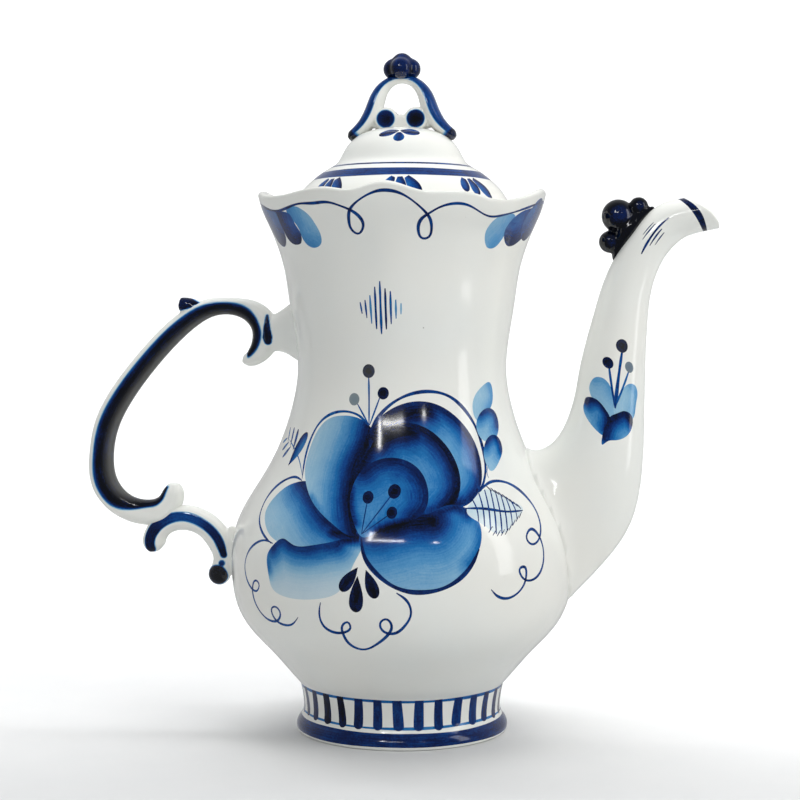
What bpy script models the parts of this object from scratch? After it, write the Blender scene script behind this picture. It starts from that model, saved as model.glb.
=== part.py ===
"""Tall porcelain teapot: a waisted pot on a turned foot, with a scalloped rim, a curved spout
with three berries, a scroll handle on a lower bracket, and a lift-off domed lid with a bow and
a blossom on top.

Units are metres. The origin is the centre of the foot's rest plane, +Z is up, the spout points
along +X, the handle along -X, and the painted front faces -Y. Outlines are (radius, height) or
(x, height) pairs in millimetres, turned into metres by mm().
"""

import math

import bmesh
import bpy
import numpy as np
from mathutils import Vector

MM = 0.001

# Driving dimensions, in millimetres.
WALL = 3.8                      # thickness of the cast pot wall
SPOUT_WALL = 3.0
GAP = 0.3                       # clearance kept between touching pieces
TURN_STEPS = 48                 # facets round a turned piece
FOOT_TOP = 18.3                 # height of the foot, where the pot stands on it
FLOOR_TOP = 22.6                # inner floor of the pot
SEAT_TOP = 198.4                # ledge inside the mouth that carries the lid
SEAT_RADIUS = 38.6              # free radius inside that ledge
COLLAR_RADIUS = 37.8            # collar under the lid that drops inside the ledge
COLLAR_BOTTOM = 189.0
RIM_PEAK = 206.8                # height of the highest scallops
RIM_ROOT = 199.0                # the scallops die out at this height
BAND_GAP = 0.2                  # slit kept between two bands of the wall
STRAINER_HOLE_DIAMETER = 5.0
STRAINER_CENTRE_HEIGHT = 80.0
STRAINER_PITCH = 9.0
LOOP_FLATTEN = 1.7              # depth of the lid's bow compared with its thickness
HANDLE_FLATTEN = 1.15
TUBE_SIDES_RESOLUTION = 3

# Scallops of the rim: (degrees from the front, height). Mirrored into the other quarters.
RIM_SCALLOPS = [(0, 206.0), (18.5, 202.6), (28.5, 204.2), (52, 201.2), (90, RIM_PEAK)]

# Outer wall of the pot, from the lip down to the foot.
POT_OUTER = [
    (55.2, 205.6), (54.3, 201.3), (50.8, 193.3), (47.6, 185.2), (45.1, 176.8), (43.3, 164.5),
    (41.2, 151.0), (40.1, 136.8), (42.3, 123.7), (47.0, 109.5), (53.1, 97.7), (58.9, 88.6),
    (63.6, 79.1), (65.7, 68.8), (65.5, 58.1), (63.1, 47.3), (58.1, 39.1), (50.1, 30.8),
    (44.3, 24.1), (39.3, FOOT_TOP + GAP),
]
# The wall is one casting; its bands are separate nodes so that each stays open in collision.
POT_BANDS = [
    ("pot_base", FOOT_TOP + GAP, 44.0), ("pot_belly", 44.0, 66.0), ("pot_shoulder", 66.0, 112.0),
    ("pot_neck", 112.0, 187.0), ("pot_mouth", 187.0, RIM_PEAK + 1.0),
]
FOOT_OUTLINE = [
    (39.2, FOOT_TOP), (38.3, 14.5), (37.8, 10.5), (37.9, 7.6), (38.8, 5.6), (40.1, 3.8),
    (40.6, 2.2), (40.4, 0.8), (39.6, 0.0), (36.4, 0.0), (35.4, 1.0), (34.3, 6.0),
    (34.2, FOOT_TOP),
]
LID_OUTER = [
    (0.0, 231.2), (8.0, 230.7), (14.0, 229.2), (18.3, 226.9), (21.3, 223.6), (23.4, 219.8),
    (24.9, 217.2), (27.6, 215.4), (31.4, 213.0), (35.2, 209.9), (38.8, 206.0), (41.6, 202.0),
    (43.4, 199.9), (43.2, SEAT_TOP + GAP),
]
LID_INNER = [
    (COLLAR_RADIUS, SEAT_TOP + GAP), (COLLAR_RADIUS, COLLAR_BOTTOM + 0.6),
    (COLLAR_RADIUS - 0.6, COLLAR_BOTTOM), (35.5, COLLAR_BOTTOM), (34.9, COLLAR_BOTTOM + 0.6),
    (34.9, 203.5), (32.4, 207.4), (28.8, 210.0), (24.4, 212.4), (21.5, 215.0), (19.6, 218.8),
    (17.6, 221.8), (14.2, 224.6), (8.0, 226.6), (0.0, 227.2),
]

# Spout sections: the two ends of each in the plane y = 0 (inner edge, outer edge) and the half
# width across it. The first section lies inside the pot's wall, the last one is the lip.
SPOUT_SECTIONS = [
    ((44.0, 104.0), (56.0, 52.0), 14.0), ((50.5, 106.0), (64.0, 53.0), 15.3),
    ((56.5, 108.8), (73.0, 59.9), 15.5), ((60.5, 113.0), (82.5, 71.0), 15.2),
    ((64.0, 120.0), (89.5, 85.5), 14.4), ((66.5, 128.5), (92.2, 104.0), 13.0),
    ((68.2, 138.0), (92.8, 124.0), 11.8), ((70.8, 149.0), (93.2, 142.0), 10.8),
    ((74.0, 160.5), (94.0, 157.5), 9.9), ((78.0, 173.0), (95.6, 169.0), 9.1),
    ((84.3, 185.3), (99.7, 179.6), 8.5), ((91.5, 195.0), (104.6, 185.6), 8.2),
    ((99.5, 201.0), (110.5, 189.2), 8.0), ((108.5, 203.2), (121.6, 191.6), 8.2),
]
SPOUT_RINGS = 24
SPOUT_SIDES = 20

# Scroll handle and its bracket: (x, height, radius) along the middle of the rod.
HANDLE_LINE = [
    (-60.6, 140.9, 1.8), (-58.6, 142.2, 3.3), (-54.6, 146.4, 5.0), (-53.6, 153.0, 5.3),
    (-57.7, 159.2, 4.7), (-65.5, 162.0, 3.5), (-76.3, 161.4, 3.7), (-86.1, 155.8, 4.2),
    (-100.1, 142.0, 4.5), (-110.6, 128.8, 4.7), (-118.1, 114.5, 4.8), (-120.0, 104.0, 4.8),
    (-118.8, 93.0, 5.1), (-112.4, 85.0, 4.9), (-101.0, 81.2, 5.0), (-93.4, 82.6, 4.9),
    (-89.9, 87.4, 3.8), (-89.6, 92.0, 2.0),
]
THUMB_SPUR_LINE = [(-72.0, 162.0, 2.4), (-80.0, 162.4, 2.4), (-86.8, 163.4, 2.2), (-88.2, 163.6, 1.4)]
BOSS_POT_END = (-36.0, 152.8, 13.6)         # x, height and radius of the flared root
BOSS_ROD_END = (-53.0, 151.2, 7.0)
BRACKET_FOOT_LINE = [(-68.6, 75.8, 1.4), (-68.4, 71.0, 3.4), (-68.0, 63.0, 3.4), (-68.4, 57.6, 1.8)]
BRACKET_LINE = [
    (-98.2, 65.8, 1.8), (-98.4, 67.6, 3.6), (-97.8, 72.0, 4.5), (-93.5, 77.4, 4.7),
    (-85.5, 79.3, 4.9), (-77.0, 76.3, 4.9), (-71.6, 69.6, 4.8), (-70.2, 63.0, 4.2),
    (-71.4, 57.8, 3.9), (-72.0, 54.6, 2.0),
]

# Moulded sprig on the spout: three berries (x, height, radius) on a pad that follows its back.
BERRIES = [(81.7, 196.2, 5.9), (90.2, 199.8, 3.3), (79.0, 186.6, 3.8)]
BERRY_PAD_LINE = [
    (81.2, 181.2, 0.6), (83.2, 185.4, 2.8), (86.6, 191.2, 3.4), (91.2, 196.4, 2.8), (95.2, 199.0, 0.6),
]

# Bow on the lid and the blossom that crowns it.
LOOP_HALF_LINE = [
    (19.9, 227.3, 1.8), (18.6, 228.6, 2.5), (14.8, 232.4, 2.7), (11.7, 238.0, 2.6),
    (9.5, 243.8, 2.3), (5.4, 248.6, 1.9), (0.0, 250.2, 1.7),
]
LOOP_DISCS = [(-5.8, 234.2, 4.6), (0.0, 233.0, 4.2), (5.8, 234.2, 4.6)]
LOOP_DISC_DEPTH = 8.6
BLOSSOM_TOP = 260.0
BLOSSOM_HEART_RADIUS = 4.0
BLOSSOM_LOBE = (3.3, 254.3, 3.1)            # distance from the axis, height, radius
BLOSSOM_LOBES = 4


def clear_scene():
    for item in list(bpy.data.objects):
        bpy.data.objects.remove(item, do_unlink=True)


def new_collection(name):
    group = bpy.data.collections.new(name)
    bpy.context.scene.collection.children.link(group)
    return group


def glaze(name, colour, roughness):
    material = bpy.data.materials.new(name)
    material.use_nodes = True
    shader = material.node_tree.nodes["Principled BSDF"]
    shader.inputs["Base Color"].default_value = (*colour, 1.0)
    shader.inputs["Roughness"].default_value = roughness
    shader.inputs["Metallic"].default_value = 0.0
    return material


def mm(*values):
    return tuple(value * MM for value in values)


def add_object(name, data, group, material=None):
    item = bpy.data.objects.new(name, data)
    group.objects.link(item)
    if material is not None:
        data.materials.clear()
        data.materials.append(material)
    return item


def as_cutter(item):
    item.hide_render = True
    item.display_type = "WIRE"
    return item


def to_mesh(item, weld=0.00001):
    """Replace an object by its evaluated mesh, in world space and with its seams welded."""
    depsgraph = bpy.context.evaluated_depsgraph_get()
    mesh = bpy.data.meshes.new_from_object(item.evaluated_get(depsgraph))
    mesh.transform(item.matrix_world)
    work = bmesh.new()
    work.from_mesh(mesh)
    bmesh.ops.remove_doubles(work, verts=work.verts, dist=weld)
    bmesh.ops.recalc_face_normals(work, faces=work.faces)
    work.to_mesh(mesh)
    work.free()
    name = item.name
    group = item.users_collection[0]
    bpy.data.objects.remove(item, do_unlink=True)
    return add_object(name, mesh, group)


def boolean(item, other, operation):
    step = item.modifiers.new(operation.title(), "BOOLEAN")
    step.operation = operation
    step.solver = "EXACT"
    step.object = other
    return step


def merge_into(item, others):
    """Fuse shapes of one casting into a single body."""
    for other in others:
        boolean(item, other, "UNION")
    bpy.context.view_layer.update()
    fused = to_mesh(item)
    for other in others:
        bpy.data.objects.remove(other, do_unlink=True)
    return fused


def turned(name, outline, group, material=None):
    """A solid of revolution; the outline runs down its outer side."""
    mesh = bpy.data.meshes.new(name)
    points = [(radius * MM, 0.0, height * MM) for radius, height in outline]
    closed = outline[0][0] > 0.0
    edges = [(i, i + 1) for i in range(len(points) - 1)]
    if closed:
        edges.append((len(points) - 1, 0))
    mesh.from_pydata(points, edges, [])
    item = add_object(name, mesh, group, material)
    screw = item.modifiers.new("Turn", "SCREW")
    screw.axis = "Z"
    screw.steps = TURN_STEPS
    screw.render_steps = TURN_STEPS
    screw.use_merge_vertices = True
    screw.merge_threshold = 0.00001
    screw.use_smooth_shade = True
    return item


def tube(name, line, group, flatten=1.0, extra=0.0):
    """A rod of changing thickness along a smooth line in the plane y = 0."""
    curve = bpy.data.curves.new(name, "CURVE")
    curve.dimensions = "3D"
    curve.bevel_depth = MM
    curve.bevel_resolution = TUBE_SIDES_RESOLUTION
    curve.resolution_u = 3
    curve.use_fill_caps = True
    spline = curve.splines.new("BEZIER")
    spline.bezier_points.add(len(line) - 1)
    for point, (x, height, radius) in zip(spline.bezier_points, line):
        point.co = mm(x, 0.0, height)
        point.radius = radius + extra
        point.handle_left_type = "AUTO"
        point.handle_right_type = "AUTO"
    item = add_object(name, curve, group)
    item.scale.y = flatten
    bpy.context.view_layer.update()
    return to_mesh(item)


def ball(name, centre, radius, group, segments, rings):
    mesh = bpy.data.meshes.new(name)
    work = bmesh.new()
    bmesh.ops.create_uvsphere(work, u_segments=segments, v_segments=rings, radius=radius * MM)
    bmesh.ops.translate(work, verts=work.verts, vec=Vector(mm(*centre)))
    work.to_mesh(mesh)
    work.free()
    return add_object(name, mesh, group)


def rod(name, start, end, start_radius, end_radius, group, segments=24):
    """A straight round bar or cone between two points, given in millimetres."""
    mesh = bpy.data.meshes.new(name)
    begin, finish = Vector(mm(*start)), Vector(mm(*end))
    along = finish - begin
    work = bmesh.new()
    bmesh.ops.create_cone(
        work, cap_ends=True, segments=segments,
        radius1=start_radius * MM, radius2=end_radius * MM, depth=along.length,
    )
    mesh_turn = along.to_track_quat("Z", "Y").to_matrix().to_4x4()
    mesh_turn.translation = (begin + finish) / 2
    bmesh.ops.transform(work, matrix=mesh_turn, verts=work.verts)
    work.to_mesh(mesh)
    work.free()
    return add_object(name, mesh, group)


def inner_wall(outline, thickness):
    """The outline moved inwards by a thickness, square to its own slope."""
    moved = []
    for i, (radius, height) in enumerate(outline):
        before = outline[max(i - 1, 0)]
        after = outline[min(i + 1, len(outline) - 1)]
        run = Vector((after[0] - before[0], after[1] - before[1])).normalized()
        moved.append((radius + run.y * thickness, height - run.x * thickness))
    return moved


def rim_height(angle):
    """Height of the scalloped edge, at an angle from the front, by cosine steps."""
    folded = abs(math.degrees(angle)) % 180.0
    folded = min(folded, 180.0 - folded)
    for (low, low_height), (high, high_height) in zip(RIM_SCALLOPS, RIM_SCALLOPS[1:]):
        if folded <= high:
            share = (1.0 - math.cos(math.pi * (folded - low) / (high - low))) / 2.0
            return low_height + (high_height - low_height) * share
    return RIM_PEAK


def scallop_rim(item):
    """Press the mouth's edge into its waves, leaving all below the rim's root alone."""
    for vertex in item.data.vertices:
        height = vertex.co.z / MM
        if height > RIM_ROOT:
            angle = math.atan2(vertex.co.x, -vertex.co.y)
            squeeze = (rim_height(angle) - RIM_ROOT) / (RIM_PEAK - RIM_ROOT)
            vertex.co.z = (RIM_ROOT + (height - RIM_ROOT) * squeeze) * MM


def envelope(group):
    """The pot's outside, grown by the gap: it trims whatever is stuck onto the wall."""
    grown = [(radius + GAP, height) for radius, height in POT_OUTER]
    outline = [(0.0, grown[0][1]), *grown, (0.0, grown[-1][1])]
    return as_cutter(turned("pot_envelope", outline, group))


def band_of(outline, low, high):
    """The stretch of an outline between two heights, with its ends cut square."""
    stretch = []
    for (r1, z1), (r2, z2) in zip(outline, outline[1:]):
        cuts = sorted((cut for cut in (low, high) if min(z1, z2) < cut < max(z1, z2)), reverse=z2 < z1)
        if low <= z1 <= high:
            stretch.append((r1, z1))
        stretch += [(r1 + (r2 - r1) * (cut - z1) / (z2 - z1), cut) for cut in cuts]
    if low <= outline[-1][1] <= high:
        stretch.append(outline[-1])
    return stretch


def drill_strainer(band, cutters):
    rows = [(0.0, 0.0)] + [(math.cos(i * math.pi / 3), math.sin(i * math.pi / 3)) for i in range(6)]
    for i, (across, up) in enumerate(rows):
        y = across * STRAINER_PITCH
        z = STRAINER_CENTRE_HEIGHT + up * STRAINER_PITCH
        radius = STRAINER_HOLE_DIAMETER / 2.0
        hole = rod(f"strainer_drill_{i + 1}", (50.0, y, z), (75.0, y, z), radius, radius, cutters, 12)
        boolean(band, as_cutter(hole), "DIFFERENCE")


def make_pot(group, cutters, white):
    wall = inner_wall(POT_OUTER, WALL)
    below_seat = [point for point in wall if 28.0 < point[1] < 188.0]
    inside = [
        (0.0, FLOOR_TOP), (28.0, FLOOR_TOP + 0.3), (38.0, 26.0), *reversed(below_seat),
        (44.4, 188.2), (SEAT_RADIUS, SEAT_TOP - 4.0), (SEAT_RADIUS, SEAT_TOP),
        (49.0, SEAT_TOP), (50.2, 201.5), (52.0, 205.7), (53.6, RIM_PEAK),
    ]
    outside = [*POT_OUTER, (0.0, FOOT_TOP + GAP)]
    for name, low, high in POT_BANDS:
        outline = band_of(inside, low, high - BAND_GAP) + band_of(outside, low, high - BAND_GAP)
        band = to_mesh(turned(name, outline, group))
        if name == "pot_mouth":
            scallop_rim(band)
        band.data.materials.append(white)
        if name == "pot_shoulder":
            drill_strainer(band, cutters)


def make_foot(group, white):
    return turned("foot_ring", FOOT_OUTLINE, group, white)


def smooth_rows(rows, count):
    """Catmull-Rom reading of rows of numbers at an even count of stations."""
    table = np.array(rows, float)
    padded = np.vstack([2 * table[0] - table[1], table, 2 * table[-1] - table[-2]])
    result = []
    for place in np.linspace(0.0, len(table) - 1.0, count):
        i = min(int(place), len(table) - 2)
        t = place - i
        a, b, c, d = padded[i:i + 4]
        result.append(
            0.5 * (2 * b + (c - a) * t + (2 * a - 5 * b + 4 * c - d) * t**2
                   + (3 * b - a - 3 * c + d) * t**3)
        )
    return result


def spout_rings(inset):
    """Rings of the spout's surface, moved inwards by an inset."""
    rows = [(*inner, *outer, half) for inner, outer, half in SPOUT_SECTIONS]
    rings = []
    for x1, z1, x2, z2, half in smooth_rows(rows, SPOUT_RINGS):
        centre = Vector(((x1 + x2) / 2, 0.0, (z1 + z2) / 2))
        reach = Vector(((x1 - x2) / 2, 0.0, (z1 - z2) / 2))
        reach *= (reach.length - inset) / reach.length
        ring = []
        for i in range(SPOUT_SIDES):
            turn = 2 * math.pi * i / SPOUT_SIDES
            point = centre + reach * math.cos(turn)
            point.y += (half - inset) * math.sin(turn)
            ring.append(point * MM)
        rings.append(ring)
    return rings


def loft(name, rings, group, capped):
    """Skin over rings of equal size: closed by end caps, or back onto its first ring."""
    mesh = bpy.data.meshes.new(name)
    work = bmesh.new()
    rows = [[work.verts.new(point) for point in ring] for ring in rings]
    pairs = list(zip(rows, rows[1:]))
    if not capped:
        pairs.append((rows[-1], rows[0]))
    for low, high in pairs:
        for i in range(len(low)):
            j = (i + 1) % len(low)
            work.faces.new((low[i], low[j], high[j], high[i]))
    if capped:
        work.faces.new(rows[0])
        work.faces.new(rows[-1])
    bmesh.ops.recalc_face_normals(work, faces=work.faces)
    work.to_mesh(mesh)
    work.free()
    return add_object(name, mesh, group)


def make_spout(group, skin, white):
    walls = spout_rings(0.0) + list(reversed(spout_rings(SPOUT_WALL)))
    spout = loft("spout", walls, group, capped=False)
    spout.data.materials.append(white)
    boolean(spout, skin, "DIFFERENCE")
    return spout


def make_berries(group, cutters, cobalt):
    """The sprig is pressed in one piece and stuck on the spout, whose surface trims it."""
    pad = tube("spout_berries", BERRY_PAD_LINE, group)
    balls = [
        ball(f"berry_{i}", (x, 0.0, height), radius, group, 14, 9)
        for i, (x, height, radius) in enumerate(BERRIES)
    ]
    sprig = merge_into(pad, balls)
    sprig.data.materials.append(cobalt)
    spout_skin = as_cutter(loft("spout_envelope", spout_rings(-GAP), cutters, capped=True))
    boolean(sprig, spout_skin, "DIFFERENCE")
    return sprig


def make_handle(group, skin, white):
    scroll = tube("handle", HANDLE_LINE, group, HANDLE_FLATTEN)
    spur = tube("thumb_spur", THUMB_SPUR_LINE, group, HANDLE_FLATTEN)
    (x1, z1, r1), (x2, z2, r2) = BOSS_POT_END, BOSS_ROD_END
    boss = rod("boss", (x1, 0.0, z1), (x2, 0.0, z2), r1, r2, group)
    handle = merge_into(scroll, [boss, spur])
    handle.data.materials.append(white)
    boolean(handle, skin, "DIFFERENCE")
    return handle


def make_bracket(group, cutters, skin, white):
    scroll = tube("handle_bracket", BRACKET_LINE, group, HANDLE_FLATTEN)
    foot = tube("bracket_foot", BRACKET_FOOT_LINE, group, HANDLE_FLATTEN)
    bracket = merge_into(scroll, [foot])
    bracket.data.materials.append(white)
    scroll_skin = as_cutter(tube("handle_envelope", HANDLE_LINE, cutters, HANDLE_FLATTEN, GAP))
    boolean(bracket, scroll_skin, "DIFFERENCE")
    boolean(bracket, skin, "DIFFERENCE")
    return bracket


def loop_line():
    left = [(-x, height, radius) for x, height, radius in LOOP_HALF_LINE[:-1]]
    return left + list(reversed(LOOP_HALF_LINE))


def make_lid(group, cutters, white, cobalt, axis_frame):
    dome = turned("lid_dome", LID_OUTER + LID_INNER, group, white)

    grown = [(radius + GAP * (radius > 0), height + GAP) for radius, height in LID_OUTER]
    dome_skin = as_cutter(turned("lid_envelope", [*grown, (0.0, SEAT_TOP)], cutters))
    bow = tube("lid_loop", loop_line(), group, LOOP_FLATTEN)
    discs = [
        rod(f"scroll_{i}", (x, -LOOP_DISC_DEPTH / 2, z), (x, LOOP_DISC_DEPTH / 2, z), r, r, group, 20)
        for i, (x, z, r) in enumerate(LOOP_DISCS)
    ]
    bow = merge_into(bow, discs)
    bow.data.materials.append(white)
    boolean(bow, dome_skin, "DIFFERENCE")

    heart_height = BLOSSOM_TOP - BLOSSOM_HEART_RADIUS
    blossom = ball("lid_blossom", (0.0, 0.0, heart_height), BLOSSOM_HEART_RADIUS, group, 12, 8)
    distance, height, radius = BLOSSOM_LOBE
    lobes = []
    for i in range(BLOSSOM_LOBES):
        turn = 2 * math.pi * i / BLOSSOM_LOBES
        centre = (distance * math.cos(turn), distance * math.sin(turn), height)
        lobes.append(ball(f"lobe_{i}", centre, radius, group, 10, 7))
    blossom = merge_into(blossom, lobes)
    blossom.data.materials.append(cobalt)
    bow_skin = as_cutter(tube("loop_envelope", loop_line(), cutters, LOOP_FLATTEN, GAP))
    boolean(blossom, bow_skin, "DIFFERENCE")

    for piece in (dome, bow, blossom):
        piece.parent = axis_frame


def main():
    clear_scene()
    group = new_collection("teapot")
    cutters = new_collection("cutters")
    white = glaze("white_glaze", (0.84, 0.86, 0.88), 0.08)
    cobalt = glaze("cobalt_glaze", (0.02, 0.06, 0.26), 0.08)

    lid_axis = bpy.data.objects.new("lid_axis", None)
    group.objects.link(lid_axis)

    skin = envelope(cutters)
    make_pot(group, cutters, white)
    make_foot(group, white)
    make_spout(group, skin, white)
    make_berries(group, cutters, cobalt)
    make_handle(group, skin, white)
    make_bracket(group, cutters, skin, white)
    make_lid(group, cutters, white, cobalt, lid_axis)


main()
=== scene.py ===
"""Looks of the porcelain teapot: a glazed white pot with cobalt brushwork under the glaze.

Lengths are in millimetres until a mesh is made. Every turned or lofted piece has a flat chart of
its surface, (across, along) in millimetres, and the brushwork is cut into the mesh on that chart:
each stroke is an outline, and the triangles inside it carry its load of cobalt as an attribute.
"""

import math

import bpy
import numpy as np
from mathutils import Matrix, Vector
from mathutils.geometry import delaunay_2d_cdt

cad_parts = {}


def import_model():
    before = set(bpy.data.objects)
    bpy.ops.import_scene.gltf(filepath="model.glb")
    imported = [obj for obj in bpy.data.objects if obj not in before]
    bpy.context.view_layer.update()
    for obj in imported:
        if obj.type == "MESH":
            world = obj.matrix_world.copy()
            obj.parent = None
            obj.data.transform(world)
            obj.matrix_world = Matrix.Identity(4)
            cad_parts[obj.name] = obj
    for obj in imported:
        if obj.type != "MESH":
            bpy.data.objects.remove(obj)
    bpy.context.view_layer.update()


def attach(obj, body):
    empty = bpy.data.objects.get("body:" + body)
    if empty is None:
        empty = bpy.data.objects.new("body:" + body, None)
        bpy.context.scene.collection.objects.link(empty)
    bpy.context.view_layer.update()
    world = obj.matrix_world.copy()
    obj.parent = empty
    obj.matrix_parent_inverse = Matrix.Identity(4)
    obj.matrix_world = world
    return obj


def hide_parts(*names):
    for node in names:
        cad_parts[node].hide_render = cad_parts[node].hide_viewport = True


MM = 0.001

# ------------------------------------------------------------------ sizes, as in the CAD model

POT_BOTTOM = 18.4               # where the pot stands on its foot
SEAT_TOP = 198.4                # ledge inside the mouth that carries the lid
RIM_PEAK = 206.8
RIM_WAVE_START = 185.0          # the scallops press the wall above this height
RIM_LINE_RADIUS = 54.4          # of the wall where the line below the scallops runs
RIM_MEAN = 203.8
FLUTE_START = 118.0
FLUTE_RISE = 88.0
FLUTE_DEPTH = 0.16              # millimetres outward for each millimetre that the rim rises
RIM_SCALLOPS = [                # (degrees from the front, height)
    (-90, RIM_PEAK), (-49, 203.0), (-25, 205.1), (-13, 203.9), (0, RIM_PEAK),
    (18.5, 202.9), (31, 203.1), (48, 200.7), (90, RIM_PEAK),
]
POT_OUTER = [                   # outlines are (radius, height), from the bottom up
    (39.3, POT_BOTTOM), (44.3, 24.1), (50.1, 30.8), (58.1, 39.1), (63.1, 47.3), (65.3, 58.1),
    (65.5, 68.8), (63.6, 79.1), (58.9, 88.6), (53.1, 97.7), (47.0, 109.5), (42.3, 123.7),
    (40.1, 136.8), (41.2, 151.0), (43.3, 164.5), (45.1, 176.8), (47.6, 185.2), (50.8, 193.3),
    (54.3, 201.3), (55.3, 205.2),
]
POT_LIP_AND_INSIDE = [
    (55.2, 206.0), (54.6, 206.6), (53.6, 206.8), (52.7, 206.4), (52.0, 205.4), (51.0, 203.0),
    (50.2, 200.8), (49.6, 199.2), (48.8, 198.5), (47.0, 198.4), (40.0, 198.4), (38.9, 198.1),
    (38.6, 197.2), (38.7, 195.0), (40.5, 191.5), (43.0, 187.5), (42.6, 182.0), (41.4, 177.4),
    (39.5, 165.0), (37.4, 151.3), (36.3, 136.5), (38.6, 122.6), (43.5, 107.9), (49.8, 95.8),
    (55.4, 87.0), (59.9, 78.1), (61.9, 68.7), (61.7, 58.7), (59.5, 48.8), (55.0, 41.4),
    (47.4, 33.5), (41.6, 27.6), (36.0, 24.0), (28.0, 22.9), (14.0, 22.6), (0.4, 22.6),
]
FOOT_OUTER = [
    (40.4, 0.8), (40.6, 2.2), (40.1, 3.8), (38.8, 5.6), (37.9, 7.6), (37.8, 10.5), (38.3, 14.5),
    (39.2, 18.6),
]
FOOT_UNDERSIDE = [
    (40.1, 0.3), (39.4, 0.05), (38.4, 0.04), (36.8, 0.06), (36.0, 0.3), (35.4, 1.2), (34.7, 4.0),
    (34.3, 8.0), (34.2, 17.6), (33.6, 18.2), (0.4, 18.2),
]
LID_OUTER = [
    (43.2, 198.7), (43.4, 199.9), (41.6, 202.0), (38.8, 206.0), (35.2, 209.9), (31.4, 213.0),
    (27.6, 215.4), (24.9, 217.2), (23.4, 219.8), (21.3, 223.6), (18.3, 226.9), (14.0, 229.2),
    (8.0, 230.7), (0.8, 231.2),
]
LID_UNDERSIDE = [
    (43.0, 198.5), (42.4, 198.5), (38.4, 198.5), (37.9, 198.2), (37.8, 197.6), (37.8, 189.8),
    (37.5, 189.2), (37.0, 189.0), (35.6, 189.0), (35.1, 189.2), (34.9, 189.8), (34.9, 202.0),
    (34.4, 204.6), (32.4, 207.4), (28.8, 210.0), (24.4, 212.4), (21.5, 215.0), (19.6, 218.8),
    (17.6, 221.8), (14.2, 224.6), (8.0, 226.6), (0.4, 227.2),
]
SPOUT_WALL = 3.0
SPOUT_ROOT_FLARE = 2.4          # how far the slip spreads round the spout's root
SPOUT_SECTIONS = [
    ((44.0, 104.0), (56.0, 52.0), 14.0), ((50.5, 106.0), (64.0, 53.0), 15.3),
    ((56.5, 108.8), (73.0, 59.9), 15.5), ((60.5, 113.0), (82.5, 71.0), 15.2),
    ((64.0, 120.0), (89.5, 85.5), 14.4), ((66.5, 128.5), (92.2, 104.0), 13.0),
    ((68.2, 138.0), (92.8, 124.0), 11.8), ((70.8, 149.0), (93.2, 142.0), 10.8),
    ((74.0, 160.5), (94.0, 157.5), 9.9), ((78.0, 173.0), (95.6, 169.0), 9.1),
    ((84.3, 185.3), (99.7, 179.6), 8.5), ((91.5, 195.0), (104.6, 185.6), 8.2),
    ((99.5, 201.0), (110.5, 189.2), 8.0), ((108.5, 203.2), (121.6, 191.6), 8.2),
]
HANDLE_LINE = [                 # rods and balls are (x, height, radius)
    (-62.6, 142.0, 1.7), (-60.4, 141.6, 2.8), (-57.6, 143.0, 3.8), (-54.5, 147.0, 4.9), (-53.6, 153.0, 5.3),
    (-57.7, 159.2, 4.7), (-65.5, 162.0, 3.5), (-76.3, 161.4, 3.7), (-86.1, 155.8, 4.2),
    (-100.1, 142.0, 4.5), (-110.4, 128.8, 4.7), (-117.8, 114.5, 4.8), (-119.6, 104.0, 4.8),
    (-118.5, 93.0, 5.1), (-112.4, 85.0, 4.9), (-101.0, 81.2, 5.0), (-94.0, 82.8, 5.2),
    (-91.2, 86.6, 4.7), (-90.4, 90.2, 3.9), (-90.3, 92.6, 2.3),
]
THUMB_SPUR_LINE = [(-72.0, 161.4, 2.0), (-80.0, 162.0, 2.4), (-86.0, 162.9, 2.9), (-88.0, 163.2, 2.5)]
BOSS_LINE = [(-34.0, 152.8, 14.5), (-42.5, 152.6, 11.0), (-46.5, 152.2, 8.4), (-53.0, 151.2, 6.6)]
BRACKET_LINE = [
    (-98.2, 65.8, 1.8), (-98.4, 67.6, 3.6), (-97.8, 72.0, 4.5), (-93.5, 77.4, 4.7),
    (-85.5, 79.3, 4.9), (-77.0, 76.3, 4.9), (-71.6, 69.6, 4.8), (-70.2, 63.0, 4.2),
    (-71.4, 57.8, 3.9), (-72.0, 54.6, 2.0),
]
BRACKET_STRIPE = [
    (-98.8, 67.6), (-99.0, 70.0), (-97.6, 74.4), (-92.6, 78.6), (-85.5, 80.2), (-77.4, 77.4),
    (-71.6, 71.6), (-69.4, 65.6),
]
BRACKET_KNOT = (-70.2, 62.2)
BRACKET_BALL = (-72.0, 57.6, 4.4)
BRACKET_FOOT_LINE = [(-67.2, 76.2, 1.2), (-66.4, 71.0, 3.6), (-66.0, 63.0, 3.8), (-66.6, 57.2, 1.6)]
HANDLE_FLATTEN = 1.15
BERRIES = [(82.9, 196.4, 6.4), (90.6, 199.9, 3.7), (79.8, 186.6, 4.3)]
BERRY_PAD_LINE = [
    (81.4, 179.4, 0.8), (83.4, 185.2, 3.0), (86.4, 190.8, 4.2), (91.0, 195.8, 3.2), (96.6, 199.4, 0.8),
]
LOOP_HALF_LINE = [
    (20.5, 226.9, 1.1), (19.8, 227.5, 2.0), (18.4, 228.6, 2.5), (14.4, 232.2, 3.0), (11.0, 238.0, 3.3),
    (8.9, 243.8, 2.9), (5.2, 248.3, 2.1), (0.0, 249.9, 1.7),
]
LOOP_LINE = [(-x, height, radius) for x, height, radius in LOOP_HALF_LINE[:-1]] + LOOP_HALF_LINE[::-1]
LOOP_FLATTEN = 1.7
LOOP_DISCS = [(-5.8, 234.2, 4.6), (0.0, 232.2, 3.8), (5.8, 234.2, 4.6)]
LOOP_WEBS = [(-9.0, 234.6, 4.0), (9.0, 234.6, 4.0)]
LOOP_DISC_DEPTH = 8.6
BLOSSOM_HEART = (255.9, 4.2)    # height and radius
BLOSSOM_STALK = (252.2, 3.0)
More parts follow.
